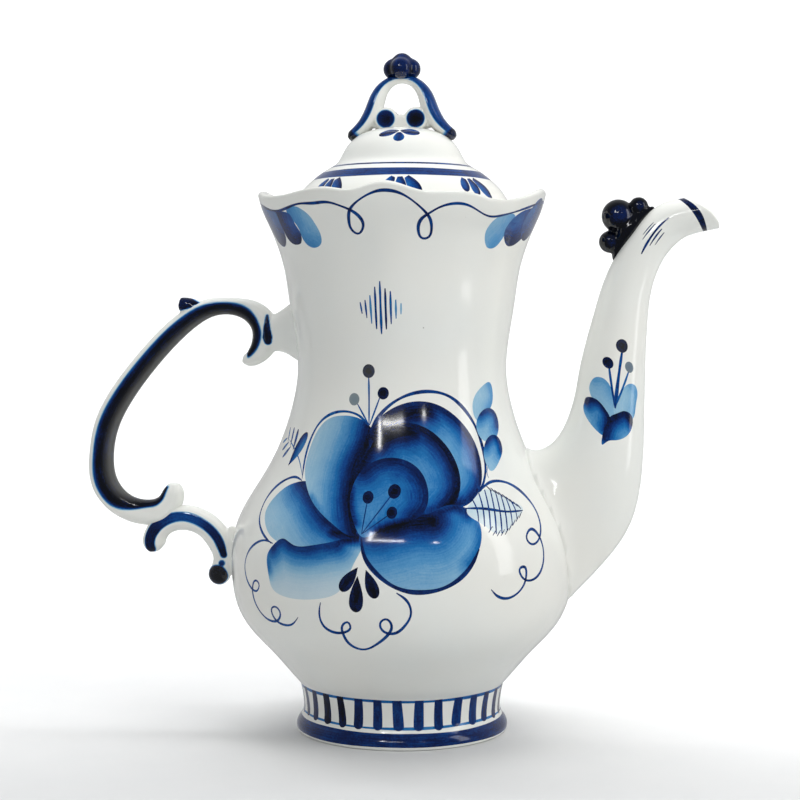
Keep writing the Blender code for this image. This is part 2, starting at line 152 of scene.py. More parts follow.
BLOSSOM_LOBE = (3.2, 253.7, 4.2)    # distance from the axis, height and radius
TURN_COLUMNS = 160


# ------------------------------------------------------------------ curves

def smooth_curve(points, count, closed=False):
    """Natural cubic spline through points, read at an even count of stations along it."""
    table = np.array(points, float)
    if closed:
        table = np.vstack([table[-4:], table, table[:5]])
    steps = np.linalg.norm(np.diff(table[:, :2], axis=0), axis=1)
    knots = np.concatenate([[0.0], np.cumsum(steps)])
    size = len(knots)
    system = np.eye(size)
    right = np.zeros_like(table)
    for i in range(1, size - 1):
        system[i, i - 1:i + 2] = steps[i - 1], 2 * (steps[i - 1] + steps[i]), steps[i]
        right[i] = 6 * ((table[i + 1] - table[i]) / steps[i] - (table[i] - table[i - 1]) / steps[i - 1])
    bend = np.linalg.solve(system, right)
    first, last = (knots[4], knots[-5]) if closed else (0.0, knots[-1])
    at = np.linspace(first, last, count + 1 if closed else count)
    i = np.clip(np.searchsorted(knots, at, side="right") - 1, 0, size - 2)
    gap = steps[i][:, None]
    ahead = (at - knots[i])[:, None]
    behind = gap - ahead
    curve = (bend[i] * behind**3 + bend[i + 1] * ahead**3) / (6 * gap)
    curve += (table[i] / gap - bend[i] * gap / 6) * behind
    curve += (table[i + 1] / gap - bend[i + 1] * gap / 6) * ahead
    return curve[:-1] if closed else curve


def path_length(points):
    """Length of a polyline."""
    return float(np.linalg.norm(np.diff(np.array(points, float), axis=0), axis=1).sum())


def smoothed(values, reach):
    """Running Gaussian mean that keeps both ends where they are."""
    span = int(3 * reach)
    kernel = np.exp(-0.5 * (np.arange(-span, span + 1) / reach) ** 2)
    before = 2 * values[0] - values[span:0:-1]
    after = 2 * values[-1] - values[-2:-span - 2:-1]
    padded = np.vstack([before, values, after])
    return np.stack([np.convolve(column, kernel / kernel.sum(), "valid") for column in padded.T], 1)


def ease(value):
    """0 below 0 and 1 above 1, with a smooth step between."""
    value = np.clip(value, 0.0, 1.0)
    return value * value * (3.0 - 2.0 * value)


def nearest_on(path, points):
    """Distance from each point to a polyline, and how far along the polyline that is."""
    path = np.array(path, float)
    start, run = path[:-1], np.diff(path, axis=0)
    lengths = np.linalg.norm(run, axis=1)
    offset = points[:, None, :] - start[None]
    share = np.clip((offset * run[None]).sum(2) / np.maximum(lengths**2, 1e-12), 0.0, 1.0)
    apart = np.linalg.norm(offset - share[..., None] * run[None], axis=2)
    best = apart.argmin(1)
    rows = np.arange(len(points))
    travelled = np.concatenate([[0.0], np.cumsum(lengths)])
    return apart[rows, best], travelled[best] + share[rows, best] * lengths[best]


def column_angles():
    """Angles of the mesh columns, from a quarter turn before the front to a full turn on."""
    return -math.pi / 2 + np.linspace(0, 2 * math.pi, TURN_COLUMNS + 1)


def stand(angle, radius, height, shape=None):
    """Angle, radius and height to space. Angles run from the front, -Y, towards the spout, +X."""
    if shape:
        radius, height = shape(angle, radius, height)
    return np.stack([radius * np.sin(angle), -radius * np.cos(angle), height], 1)


def hoops(profile, shape=None):
    """One ring of mesh corners for each (radius, height) of a profile."""
    angles = column_angles()[:-1]
    return [stand(angles, np.full(TURN_COLUMNS, radius), np.full(TURN_COLUMNS, height), shape)
            for radius, height in profile]


# ------------------------------------------------------------------ brush strokes on a chart

OUTLINE_STEP = 0.9              # millimetres between the corners of a petal's outline
LINE_STEP = 0.8


class Stroke:
    """A touch of the brush: its closed outline, its load of cobalt, and its run of bristles."""

    def __init__(self, loop, pale, darks=(), grey=0.0, turn=0.0):
        self.loop = np.array(loop, float)
        self.pale = pale
        self.darks = [(np.array(path, float), fade, deep) for path, fade, deep in darks]
        self.grey = grey
        self.turn = turn

    def turned(self, turn):
        """The same touch, made this angle further round."""
        return Stroke(self.loop, self.pale, self.darks, self.grey, turn)

    def paint(self, points):
        """Load of cobalt, greyness, and the bristle coordinates at points of the chart."""
        load = np.full(len(points), float(self.pale))
        spread, along = points[:, 0].copy(), points[:, 1].copy()
        for i, (path, fade, deep) in enumerate(self.darks):
            apart, travelled = nearest_on(path, points)
            load = np.maximum(load, self.pale + (deep - self.pale) * np.exp(-(apart / fade) ** 1.35))
            if i == 0:
                spread, along = apart, travelled
        return washes(load, np.full(len(points), self.grey), spread, along)


def blot(outline, pale, darks, grey=0.0):
    """A soft petal: dark lines give where the brush was pressed, and the load fades from them."""
    count = max(16, int(path_length(list(outline) + [outline[0]]) / OUTLINE_STEP))
    soft = [(smooth_curve(path, 24) if len(path) > 2 else path, fade, deep)
            for path, fade, deep in darks]
    return Stroke(smooth_curve(outline, count, closed=True), pale, soft, grey)


def ribbon(path, widths):
    """Outline of a line of changing width."""
    path = np.array(path, float)
    run = np.gradient(path, axis=0)
    run /= np.maximum(np.linalg.norm(run, axis=1), 1e-9)[:, None]
    side = np.stack([-run[:, 1], run[:, 0]], 1) * (np.asarray(widths) / 2)[:, None]
    return np.vstack([path + side, (path - side)[::-1]])


def pen_line(points, width, load=0.7, swell=0.16, ends=0.35):
    """A thin line of the liner brush, thicker in its middle and pointed at its ends."""
    count = max(5, int(path_length(points) / LINE_STEP))
    if len(points) > 2:
        path = smooth_curve(points, count)
    else:
        path = np.linspace(*map(np.array, points), count)
    share = np.linspace(0.0, 1.0, count)
    taper = ends + (1 - ends) * np.minimum(1.0, np.minimum(share, 1 - share) * path_length(path) / 4.0)
    wave = 1.0 + swell * np.sin(share * path_length(path) / 9.0 * math.pi + len(points))
    darks = [(path, width * 0.42, min(1.0, load + 0.2))]
    return Stroke(ribbon(path, width * taper * wave), load, darks)


def dot(centre, radius, load=1.0, grey=0.0):
    """The mark of a loaded brush tip, darkest in its middle."""
    turn = np.linspace(0.0, 2 * math.pi, 22, endpoint=False)
    round_edge = np.stack([np.cos(turn), np.sin(turn) * 1.08], 1) * radius + np.array(centre)
    middle = [centre, (centre[0] + 0.01, centre[1])]
    return Stroke(round_edge, load - 0.12, [(middle, radius * 0.8, load)], grey)


def leaf(start, end, width, pale, deep, peak=0.62, root=0.2, edge=0, fade=None):
    """A single press of a round brush: thin where it starts, full and rounded where it ends.

    peak is where along it the press is widest, root is its width at the start as a share of
    that, and edge says which side holds the dark: -1, 0 for the middle, or 1.
    """
    start, end = np.array(start, float), np.array(end, float)
    rounding = np.sin(np.linspace(0.14, 1, 9) * math.pi / 2)
    share = np.concatenate([np.linspace(0, peak, 9), peak + (1 - peak) * rounding])
    swell = np.where(
        share < peak,
        root + (1 - root) * np.sin(np.minimum(share / peak, 1) * math.pi / 2),
        np.sqrt(np.maximum(0.0, 1 - ((share - peak) / (1 - peak)) ** 2)),
    )
    path = start + share[:, None] * (end - start)
    loop = ribbon(path, np.maximum(swell * width, 0.02))
    half = len(path)
    sides = {-1: loop[:half], 0: path, 1: loop[half:]}
    return Stroke(loop, pale, [(sides[edge], fade or width * 0.45, deep)])


# ------------------------------------------------------------------ charts and surfaces

class Turned:
    """A turned surface from its outline, rising from its lower edge, and its flat chart."""

    STATIONS = 900

    def __init__(self, outline, reach, shape=None):
        fine = smooth_curve(outline, self.STATIONS)
        fine = smoothed(fine, reach * self.STATIONS / path_length(outline))
        self.radii, self.heights = fine[:, 0], fine[:, 1]
        self.alongs = np.concatenate([[0.0], np.cumsum(np.linalg.norm(np.diff(fine, axis=0), axis=1))])
        self.length = float(self.alongs[-1])
        self.shape = shape

    def radius(self, along):
        """Radius at a level of the chart."""
        return np.interp(along, self.alongs, self.radii)

    def along(self, height):
        """Level of the chart at a height."""
        return np.interp(height, self.heights, self.alongs)

    def chart(self, points):
        """(across, height) points of a drawing, laid onto the chart."""
        table = np.array(points, float)
        return np.stack([table[:, 0], self.along(table[:, 1])], 1)

    def turn_points(self, points, turn):
        """Chart points moved round by an angle, each at its own level."""
        return np.stack([points[:, 0] + turn * self.radius(points[:, 1]), points[:, 1]], 1)

    def place(self, points):
        """Chart to space."""
        across, along = points[:, 0], np.clip(points[:, 1], 0.0, self.length)
        radius = self.radius(along)
        height = np.interp(along, self.alongs, self.heights)
        return stand(across / radius, radius, height, self.shape)

    def hoop(self, along):
        """The ring of mesh corners at one level of the chart."""
        across = column_angles()[:-1] * self.radius(along)
        return self.place(np.stack([across, np.full_like(across, along)], 1))

    def rows(self, row_step):
        return np.linspace(0.0, self.length, max(2, int(self.length / row_step)) + 1)

    def border(self, row_step):
        """The chart's edge, anticlockwise from its lower left corner."""
        angles = column_angles()
        rows = self.rows(row_step)
        low = np.stack([angles * self.radius(0.0), np.zeros_like(angles)], 1)
        high = np.stack([angles * self.radius(self.length), np.full_like(angles, self.length)], 1)
        right = np.stack([angles[-1] * self.radius(rows), rows], 1)
        left = np.stack([angles[0] * self.radius(rows), rows], 1)
        return np.vstack([low[:-1], right[:-1], high[:0:-1], left[:0:-1]])

    def lattice(self, row_step):
        """Mesh corners inside the border."""
        grid_angle, grid_row = np.meshgrid(column_angles()[1:-1], self.rows(row_step)[1:-1])
        across = grid_angle * self.radius(grid_row)
        return np.stack([across.ravel(), grid_row.ravel()], 1)

    def holds(self, points):
        """Whether each point lies on the chart."""
        angle = points[:, 0] / self.radius(points[:, 1])
        inside = (angle > -math.pi / 2 - 1e-7) & (angle < 1.5 * math.pi + 1e-7)
        return inside & (points[:, 1] > -1e-7) & (points[:, 1] < self.length + 1e-7)


class Lofted:
    """The spout's surface. Its chart is cut open along the side that faces the neck."""

    COLUMNS = 72
    ROWS = 105
    GIRTH = 11.0                # millimetres of chart per radian
    LIP_SWELL = 2.2             # how far the lip bulges forward at its sides

    def __init__(self, inset=0.0):
        rows = [(*inner, *outer, half) for inner, outer, half in SPOUT_SECTIONS]
        table = smooth_curve(rows, 400)
        middle = (table[:, 0:2] + table[:, 2:4]) / 2
        reach = (table[:, 0:2] - table[:, 2:4]) / 2
        size = np.linalg.norm(reach, axis=1)[:, None]
        self.middle, self.reach, self.half = middle, reach * (size - inset) / size, table[:, 4] - inset
        self.alongs = np.concatenate([[0.0], np.cumsum(np.linalg.norm(np.diff(middle, axis=0), axis=1))])
        self.length = float(self.alongs[-1]) - 1.2
        self.left = -math.pi / 2 * self.GIRTH
        self.right = 1.5 * math.pi * self.GIRTH
        self.forward = np.array([middle[-1, 0] - middle[-9, 0], 0.0, middle[-1, 1] - middle[-9, 1]])
        self.forward /= np.linalg.norm(self.forward)

    def place(self, points, root_flare=SPOUT_ROOT_FLARE):
        """Chart to space, flared where the spout is luted to the pot."""
        turn = points[:, 0] / self.GIRTH + math.pi / 2
        read = [np.interp(points[:, 1], self.alongs, column)
                for column in (*self.middle.T, *self.reach.T, self.half)]
        x, z, reach_x, reach_z, half = read
        way = np.stack([reach_x * np.cos(turn), -half * np.sin(turn), reach_z * np.cos(turn)], 1)
        place = np.stack([x, np.zeros_like(x), z], 1) + way
        swell = self.LIP_SWELL * np.sin(turn) ** 2 * ease((points[:, 1] - self.length + 7.0) / 7.0)
        place += np.outer(swell, self.forward)
        wall = np.interp(place[:, 2], [z for _, z in POT_OUTER], [r for r, _ in POT_OUTER])
        clear = np.maximum(np.hypot(place[:, 0], place[:, 1]) - wall, 0.0)
        flare = root_flare * np.exp(-clear / 2.6)
        return place + way / np.linalg.norm(way, axis=1)[:, None] * flare[:, None]

    def turn_points(self, points, turn):
        """A turn of pi is the mirror image on the far side."""
        if not turn:
            return points
        return np.stack([math.pi * self.GIRTH - points[:, 0], points[:, 1]], 1)

    def hoop(self, along, root_flare=0.0):
        """The ring of mesh corners at one level of the chart."""
        across = np.linspace(self.left, self.right, self.COLUMNS + 1)[:-1]
        return self.place(np.stack([across, np.full_like(across, along)], 1), root_flare)

    def border(self):
        """The chart's edge, anticlockwise from its lower left corner."""
        across = np.linspace(self.left, self.right, self.COLUMNS + 1)
        along = np.linspace(0.0, self.length, self.ROWS + 1)
        low = np.stack([across, np.zeros_like(across)], 1)
        high = np.stack([across, np.full_like(across, self.length)], 1)
        left = np.stack([np.full_like(along, self.left), along], 1)
        right = np.stack([np.full_like(along, self.right), along], 1)
        return np.vstack([low[:-1], right[:-1], high[:0:-1], left[:0:-1]])

    def lattice(self):
        """Mesh corners inside the border."""
        across, along = np.meshgrid(np.linspace(self.left, self.right, self.COLUMNS + 1)[1:-1],
                                    np.linspace(0.0, self.length, self.ROWS + 1)[1:-1])
        return np.stack([across.ravel(), along.ravel()], 1)

    def holds(self, points):
        """Whether each point lies on the chart."""
        return ((points[:, 0] > self.left - 1e-7) & (points[:, 0] < self.right + 1e-7)
                & (points[:, 1] > -1e-7) & (points[:, 1] < self.length + 1e-7))


def laid(surface, strokes):
    """Strokes drawn with heights, laid onto the surface's chart."""
    for stroke in strokes:
        stroke.loop = surface.chart(stroke.loop)
        stroke.darks = [(surface.chart(path), fade, deep) for path, fade, deep in stroke.darks]
    return strokes


def full_band(surface, low, high, load, wobble=0.12, seed=1.0, fade=0.5):
    """A banding line right round a turned surface, with the small waver of a hand on a wheel."""
    angles = column_angles()
    edges = []
    for height, phase in ((low, seed), (high, seed + 1.7)):
        waver = wobble * (np.sin(3 * angles + phase) + 0.6 * np.sin(7 * angles + 2.3 * phase))
        along = surface.along(height) + waver
        edges.append(np.stack([angles * surface.radius(along), along], 1))
    middle = (edges[0] + edges[1]) / 2
    half = abs(surface.along(high) - surface.along(low)) / 2
    outline = np.vstack([edges[0], edges[1][::-1]])
    return Stroke(outline, load - 0.12, [(middle, half * (1 + fade), load)])


LATTICE_SPARE = 0.28            # mesh corners this close to a stroke's outline are left out


def winding(loop, points):
    """Winding number of a closed outline about each point."""
    x, y = points[:, 0][:, None], points[:, 1][:, None]
    x1, y1 = loop[:, 0][None], loop[:, 1][None]
    x2, y2 = np.roll(loop[:, 0], -1)[None], np.roll(loop[:, 1], -1)[None]
    side = (x2 - x1) * (y - y1) - (x - x1) * (y2 - y1)
    up = (y1 <= y) & (y2 > y) & (side > 0)
    down = (y1 > y) & (y2 <= y) & (side < 0)
    return up.sum(1) - down.sum(1)


def clear_of(points, marks, cell):
    """Those points with no mark in their own or a neighbouring cell."""
    taken = set()
    for column, row in {tuple(mark) for mark in np.floor(marks / cell).astype(int)}:
        taken.update((column + i, row + j) for i in (-1, 0, 1) for j in (-1, 0, 1))
    cells = np.floor(points / cell).astype(int)
    return points[[tuple(place) not in taken for place in cells]]


def paint_chart(surface, border, lattice, strokes):
    """Triangles of the chart cut along the strokes, and the paint at each of their corners."""
    loops = [surface.turn_points(stroke.loop, stroke.turn) for stroke in strokes]
    points = clear_of(lattice, np.vstack(loops + [border]), LATTICE_SPARE)
    coords, edges = [], []
    for loop in [border] + loops:
        first, size = len(coords), len(loop)
        coords.extend(Vector(point) for point in loop)
        edges.extend((first + i, first + (i + 1) % size) for i in range(size))
    coords.extend(Vector(point) for point in points)
    verts, _, faces, *_ = delaunay_2d_cdt(coords, edges, [], 0, 1e-6, False)
    flat = np.array([tuple(vert) for vert in verts])
    tris = np.array([face for face in faces if len(face) == 3])
    middle = flat[tris].mean(1)
    keep = surface.holds(middle)
    tris, middle = tris[keep], middle[keep]

    paint = np.zeros((len(tris), 3, 4))
    corners = flat[tris]
    for stroke, loop in zip(strokes, loops):
        low, high = loop.min(0), loop.max(0)
        near = np.flatnonzero(((middle >= low) & (middle <= high)).all(1))
        if not len(near):
            continue
        inside = near[winding(loop, middle[near]) != 0]
        if len(inside):
            at = surface.turn_points(corners[inside].reshape(-1, 2), -stroke.turn)
            paint[inside] = stroke.paint(at).reshape(-1, 3, 4)
    return flat, tris, paint


def surface_normals(surface, flat, step=0.02):
    """Normals of the mapped chart by small differences across and along."""
    across, along = np.array([step, 0.0]), np.array([0.0, step])
    run = surface.place(flat + across) - surface.place(flat - across)
    rise = surface.place(flat + along) - surface.place(flat - along)
    normal = np.cross(run, rise)
    return normal / np.maximum(np.linalg.norm(normal, axis=1), 1e-12)[:, None]


WELD = 1e-4                     # corners this close become one


class Shell:
    """Parts of one mesh, gathered with their normals and paint, then welded."""

    def __init__(self):
        self.points, self.normals, self.tris, self.paints = [], [], [], []
        self.count = 0

    def add(self, points, normals, tris, paint=None):
        """Take in a part, unpainted unless it brings its paint."""
        self.points.append(points)
        self.normals.append(normals)
        self.tris.append(np.array(tris) + self.count)
        self.paints.append(np.zeros((len(tris), 3, 4)) if paint is None else paint)
        self.count += len(points)

    def add_painted(self, surface, border, lattice, strokes):
        """Take in a chart with its brushwork."""
        flat, tris, paint = paint_chart(surface, border, lattice, strokes)
        self.add(surface.place(flat), surface_normals(surface, flat), tris, paint)

    def add_rings(self, rings, outward):
        """White skin over rings of equal size; outward is 1 or -1 as the rings run."""
        rings = np.array(rings, float)
        count, size = rings.shape[:2]
        along = np.gradient(rings, axis=0)
        around = np.roll(rings, -1, axis=1) - np.roll(rings, 1, axis=1)
        normals = np.cross(around, along) * outward
        lengths = np.linalg.norm(normals, axis=2, keepdims=True)
        normals = normals / np.maximum(lengths, 1e-12)
        tris = []
        for row in range(count - 1):
            for i in range(size):
                a, b = row * size + i, row * size + (i + 1) % size
                quad = (a, b, b + size, a + size)
                if outward < 0:
                    quad = quad[::-1]
                tris += [(quad[0], quad[1], quad[2]), (quad[0], quad[2], quad[3])]
        self.add(rings.reshape(-1, 3), normals.reshape(-1, 3), tris)

    def build(self, name, material):
        """Weld the parts into one object."""
        points = np.vstack(self.points)
        normals = np.vstack(self.normals)
        tris = np.vstack(self.tris)
        paint = np.vstack(self.paints)
        cells = np.round(points / WELD)
        _, first, place = np.unique(cells, axis=0, return_index=True, return_inverse=True)
        tris = place.reshape(-1)[tris]
        whole = (tris[:, 0] != tris[:, 1]) & (tris[:, 1] != tris[:, 2]) & (tris[:, 2] != tris[:, 0])
        tris, paint = tris[whole], paint[whole]
        mesh = bpy.data.meshes.new(name)
        mesh.from_pydata((points[first] * MM).tolist(), [], tris.tolist())
        mesh.polygons.foreach_set("use_smooth", np.ones(len(tris), bool))
        cobalt = mesh.attributes.new("cobalt", "FLOAT_COLOR", "CORNER")
        cobalt.data.foreach_set("color", paint.reshape(-1).astype(np.float32))
        mesh.normals_split_custom_set_from_vertices(normals[first].tolist())
        mesh.materials.append(material)
        item = bpy.data.objects.new(name, mesh)
        bpy.context.scene.collection.objects.link(item)
        return item


# ------------------------------------------------------------------ glaze

def linear(red, green, blue):
    """A colour as seen on screen, 0 to 255, turned into scene light."""
    return tuple((c / 255 / 12.92) if c < 10 else ((c / 255 + 0.055) / 1.055) ** 2.4
                 for c in (red, green, blue))


COBALT_WASHES = [
    (0.0, (236, 237, 234)), (0.1, (206, 221, 229)), (0.25, (146, 188, 215)), (0.4, (84, 148, 198)),
    (0.55, (26, 108, 174)), (0.7, (5, 66, 138)), (0.84, (1, 29, 84)), (1.0, (0, 2, 13)),
]
# Grey for grey washes in strokes, and for the painted shade on the handle's inner side.
GREY_WASH_AND_SHADE = (112, 112, 110)
THIN_GLAZE = (0.995, 0.98, 0.95, 1.0)
POOLED_GLAZE = (0.975, 0.99, 0.985, 1.0)
SPECK = (70, 60, 52)
SPECK_RADIUS = 0.012            # as a share of the cells that hold the specks


class Nodes:
    """Short-hand for a material's nodes. Inputs go by name, or by number as i0, i1 and so on."""

    def __init__(self, material):
        material.use_nodes = True
        self.tree = material.node_tree
        self.shader = self.tree.nodes["Principled BSDF"]

    def add(self, kind, settings=None, **inputs):
        """A new node with its settings, and its inputs linked or set."""
        node = self.tree.nodes.new(kind)
        for key, value in (settings or {}).items():
            setattr(node, key, value)
        for key, value in inputs.items():
            numbered = key[0] == "i" and key[1:].isdigit()
            socket = node.inputs[int(key[1:]) if numbered else key]
            if isinstance(value, bpy.types.NodeSocket):
                self.tree.links.new(value, socket)
            else:
                socket.default_value = value
        return node

    def math(self, operation, first, second=0.0, third=0.0):
        """Output of a math node."""
        node = self.add("ShaderNodeMath", {"operation": operation}, i0=first, i1=second, i2=third)
        return node.outputs[0]

    def vary(self, value, noise, depth):
        """A value moved up and down by a noise that runs from 0 to 1."""
        return self.math("MULTIPLY_ADD", noise, depth, self.math("SUBTRACT", value, depth / 2))

    def noise(self, vector, scale, detail=2.0, rough=0.5):
        """Output of a noise texture."""
        inputs = {"Vector": vector, "Scale": scale, "Detail": detail, "Roughness": rough}
        return self.add("ShaderNodeTexNoise", None, **inputs).outputs["Fac"]

    def mix(self, factor, first, second, blend="MIX"):
        """Colour output of a mix node."""
        settings = {"data_type": "RGBA", "blend_type": blend}
        return self.add("ShaderNodeMix", settings, i0=factor, i6=first, i7=second).outputs[2]

    def feed(self, **sockets):
        """Drive inputs of the shader; an underscore in a name stands for a space."""
        for name, value in sockets.items():
            self.tree.links.new(value, self.shader.inputs[name.replace("_", " ")])


def glaze_material(name):
    """White porcelain under a clear glaze, with cobalt where the mesh carries it."""
    material = bpy.data.materials.new(name)
    nodes = Nodes(material)
    place = nodes.add("ShaderNodeTexCoord").outputs["Object"]
    cobalt = nodes.add("ShaderNodeAttribute", {"attribute_name": "cobalt"})
    parts = nodes.add("ShaderNodeSeparateColor", None, Color=cobalt.outputs["Color"]).outputs
    load, grey, spread = parts[0], parts[1], parts[2]

    # Bristle streaks run along the stroke; a fine mottle is the paint soaking into the biscuit.
    across = nodes.math("MULTIPLY", spread, 1.6)
    along = nodes.math("MULTIPLY", cobalt.outputs["Alpha"], 0.10)
    bristles = nodes.add("ShaderNodeCombineXYZ", None, X=across, Y=along).outputs[0]
    uneven = nodes.vary(1.0, nodes.noise(bristles, 1.0, 3.0, 0.6), 0.34)
    uneven = nodes.vary(uneven, nodes.noise(place, 1400.0, 2.0, 0.6), 0.22)
    uneven = nodes.vary(uneven, nodes.noise(place, 170.0), 0.20)
    ramp = nodes.add("ShaderNodeValToRGB", None, Fac=nodes.math("MULTIPLY", load, uneven))
    stops = ramp.color_ramp.elements
    while len(stops) < len(COBALT_WASHES):
        stops.new(0.5)
    for stop, (position, colour) in zip(stops, COBALT_WASHES):
        stop.position = position
        stop.color = (*linear(*colour), 1.0)
    # The second channel mixes in grey: a grey wash in some strokes, and painted shade on the handle's inner
    # side.
    greyed = nodes.mix(grey, ramp.outputs["Color"], (*linear(*GREY_WASH_AND_SHADE), 1.0))

    # The white varies a little: warmer where the glaze is thin, cooler where it has pooled.
    pool = nodes.noise(place, 22.0, 3.0)
    tone = nodes.add("ShaderNodeValToRGB", None, Fac=pool)
    thin, pooled = tone.color_ramp.elements
    thin.position, thin.color = 0.3, THIN_GLAZE
    pooled.position, pooled.color = 0.72, POOLED_GLAZE
    tinted = nodes.mix(1.0, greyed, tone.outputs["Color"], "MULTIPLY")
    cells = nodes.add("ShaderNodeTexVoronoi", None, Vector=place, Scale=48.0).outputs["Distance"]
    speck = nodes.math("MULTIPLY", nodes.math("LESS_THAN", cells, SPECK_RADIUS), 0.55)
    colour = nodes.mix(speck, tinted, (*linear(*SPECK), 1.0))

    # The glaze is never quite level, and a little duller in places.
    gloss = nodes.math("MULTIPLY_ADD", nodes.noise(place, 90.0), 0.08, 0.07)
    ripple = nodes.math("MULTIPLY_ADD", nodes.noise(place, 420.0, 1.0), 0.12, nodes.noise(place, 70.0))
    bump = nodes.add("ShaderNodeBump", None, Strength=0.10, Distance=0.0006, Height=ripple)
    nodes.feed(Base_Color=colour, Roughness=gloss, Normal=bump.outputs["Normal"])
    nodes.shader.inputs["IOR"].default_value = 1.52
    nodes.shader.inputs["Coat Weight"].default_value = 0.1
    nodes.shader.inputs["Coat Roughness"].default_value = 0.02
    return material


# ------------------------------------------------------------------ the pot and its painting

ROSE_FIELD = (-66.0, 71.0, 118.0)   # left, right and rise of the finely meshed field
ROSE_FIELD_FOOT = 38.0
FINE_CELL = 1.25
WALL_ROW = 2.4                  # height of a row of the wall's mesh outside that field
FOOT_ROW = 1.0
LID_ROW = 1.4
FOOT_BARS = 32
LID_FANS = 8


def rim_height(angle):
    """Height of the scalloped edge by cosine steps between its tops and dips."""
    folded = (np.degrees(angle) + 90.0) % 180.0 - 90.0
    degrees, heights = np.array(RIM_SCALLOPS, float).T
    i = np.clip(np.searchsorted(degrees, folded, side="right") - 1, 0, len(degrees) - 2)
    share = (folded - degrees[i]) / (degrees[i + 1] - degrees[i])
    return heights[i] + (heights[i + 1] - heights[i]) * (1 - np.cos(math.pi * share)) / 2


def press_outside(angle, radius, height):
    """Scallops of the rim, and the soft flutes that run down the neck from them."""
    edge = rim_height(angle)
    flute = FLUTE_DEPTH * (edge - RIM_MEAN) * ease((height - FLUTE_START) / FLUTE_RISE)
    at_rim = ease((height - 196.0) / 10.0)
    lowered = (RIM_PEAK - edge) * ease((height - RIM_WAVE_START) / (RIM_PEAK - RIM_WAVE_START))
    return radius + flute * (1.0 - 0.7 * at_rim), height - lowered


def press_inside(angle, radius, height):
    """The same scallops inside the mouth, dying out at the ledge that carries the lid."""
    squeeze = (rim_height(angle) - SEAT_TOP) / (RIM_PEAK - SEAT_TOP)
    return radius, np.where(height > SEAT_TOP, SEAT_TOP + (height - SEAT_TOP) * squeeze, height)


def rim_painting():
    """The looped line below the scallops, and the fans of leaves that hang from it."""
    half_turn = math.pi / 2 * RIM_LINE_RADIUS
    line = [
        (-half_turn, 201.6), (-78, 202.2), (-65.6, 202), (-53.6, 200.6), (-45.8, 200.5), (-40.6, 201.2),
        (-34, 201.5), (-27.4, 200.7), (-20.4, 200.8), (-16.2, 200), (-11.9, 198.2), (-8.6, 194.8),
        (-7.6, 190.9), (-9.7, 188.2), (-11.9, 189.6), (-12.9, 193.6), (-11.9, 198.9), (-9.2, 201.4),
        (-3.8, 202.8), (2.2, 203.2), (8.1, 202.8), (13.4, 200), (16.6, 195.6), (17.2, 190.6),
        (15.6, 186.6), (13.6, 186.4), (12.3, 189.6), (14.2, 195.2), (16.9, 197.6), (20.3, 200),
        (26, 201.8), (33, 201), (40.7, 198.5), (47.8, 199.6), (56.9, 201.2), (66, 201.7), (half_turn, 201.6),
    ]
    leaves = [
        blot([(-42, 200.6), (-36.7, 200.9), (-33.3, 199.1), (-29.9, 196.2), (-27.2, 192.1), (-25.2, 187.5),
              (-25.4, 185), (-28.5, 183.4), (-32.1, 184.1), (-35, 186.5), (-37.2, 192.1)], 0.3,
             [([(-41, 200), (-38, 193), (-34.4, 186.4), (-29, 184)], 4.6, 0.5)]),
        blot([(-51, 200.4), (-45.6, 200), (-40.8, 198.3), (-38.2, 193), (-35.8, 187.9), (-36.4, 185.6),
              (-39.1, 184.8), (-43.8, 185.8), (-46.9, 188.6), (-48.9, 192.8)], 0.66,
             [([(-49, 198), (-46, 190), (-40, 185.6), (-36.6, 186.6)], 4.2, 0.9)]),
        blot([(-68, 202), (-57.8, 201), (-50.4, 199.6), (-49.2, 193.8), (-47.5, 187.7), (-48.8, 185.2),
              (-54.3, 185), (-59.9, 187.5), (-66.1, 193.6)], 0.64,
             [([(-66, 194), (-58, 188), (-49, 186)], 5.0, 0.88)], grey=0.18),
        blot([(39.3, 187.3), (41, 192.8), (45, 198.1), (51.6, 200.6), (55, 199), (52.4, 191.9),
              (48.4, 186.5), (43.7, 183.3), (40.5, 183.6)], 0.3,
             [([(54, 198), (50, 189), (44, 184)], 4.0, 0.46)]),
        blot([(50, 186.9), (51.6, 194), (57.3, 199.6), (64.1, 200.8), (71, 199), (69, 191.7), (62.4, 187),
              (55.6, 184.5), (51.4, 184.9)], 0.64,
             [([(68, 198), (64, 189), (56, 185.4), (51.6, 187)], 4.6, 0.9)]),
        blot([(61.9, 189.4), (62.6, 195), (66.7, 200.4), (81.5, 201.4), (83, 196.9), (78.3, 191.3),
              (69.5, 187.5), (64.3, 187)], 0.64,
             [([(80, 200), (74, 190), (64.4, 187.6)], 4.6, 0.88)], grey=0.12),
    ]
    return leaves + [pen_line(line, 1.08, 0.72, swell=0.2, ends=1.0)]


def lozenge_of_lines():
    """Nine upright lines on the neck, longest in the middle."""
    tops = [163.4, 164.2, 165.9, 169.0, 171.0, 168.4, 167.4, 164.3, 163.0]
    feet = [159.2, 157.6, 155.6, 153.6, 151.8, 153.5, 155.4, 157.4, 159.0]
    loads = [0.58, 0.62, 0.42, 0.66, 0.6, 0.74, 0.6, 0.4, 0.24]
    return [
        pen_line([(-9.9 + 1.9 * i, top), (-9.2 + 1.8 * i, foot)], 0.95, load, ends=0.4)
        for i, (top, foot, load) in enumerate(zip(tops, feet, loads))
    ]


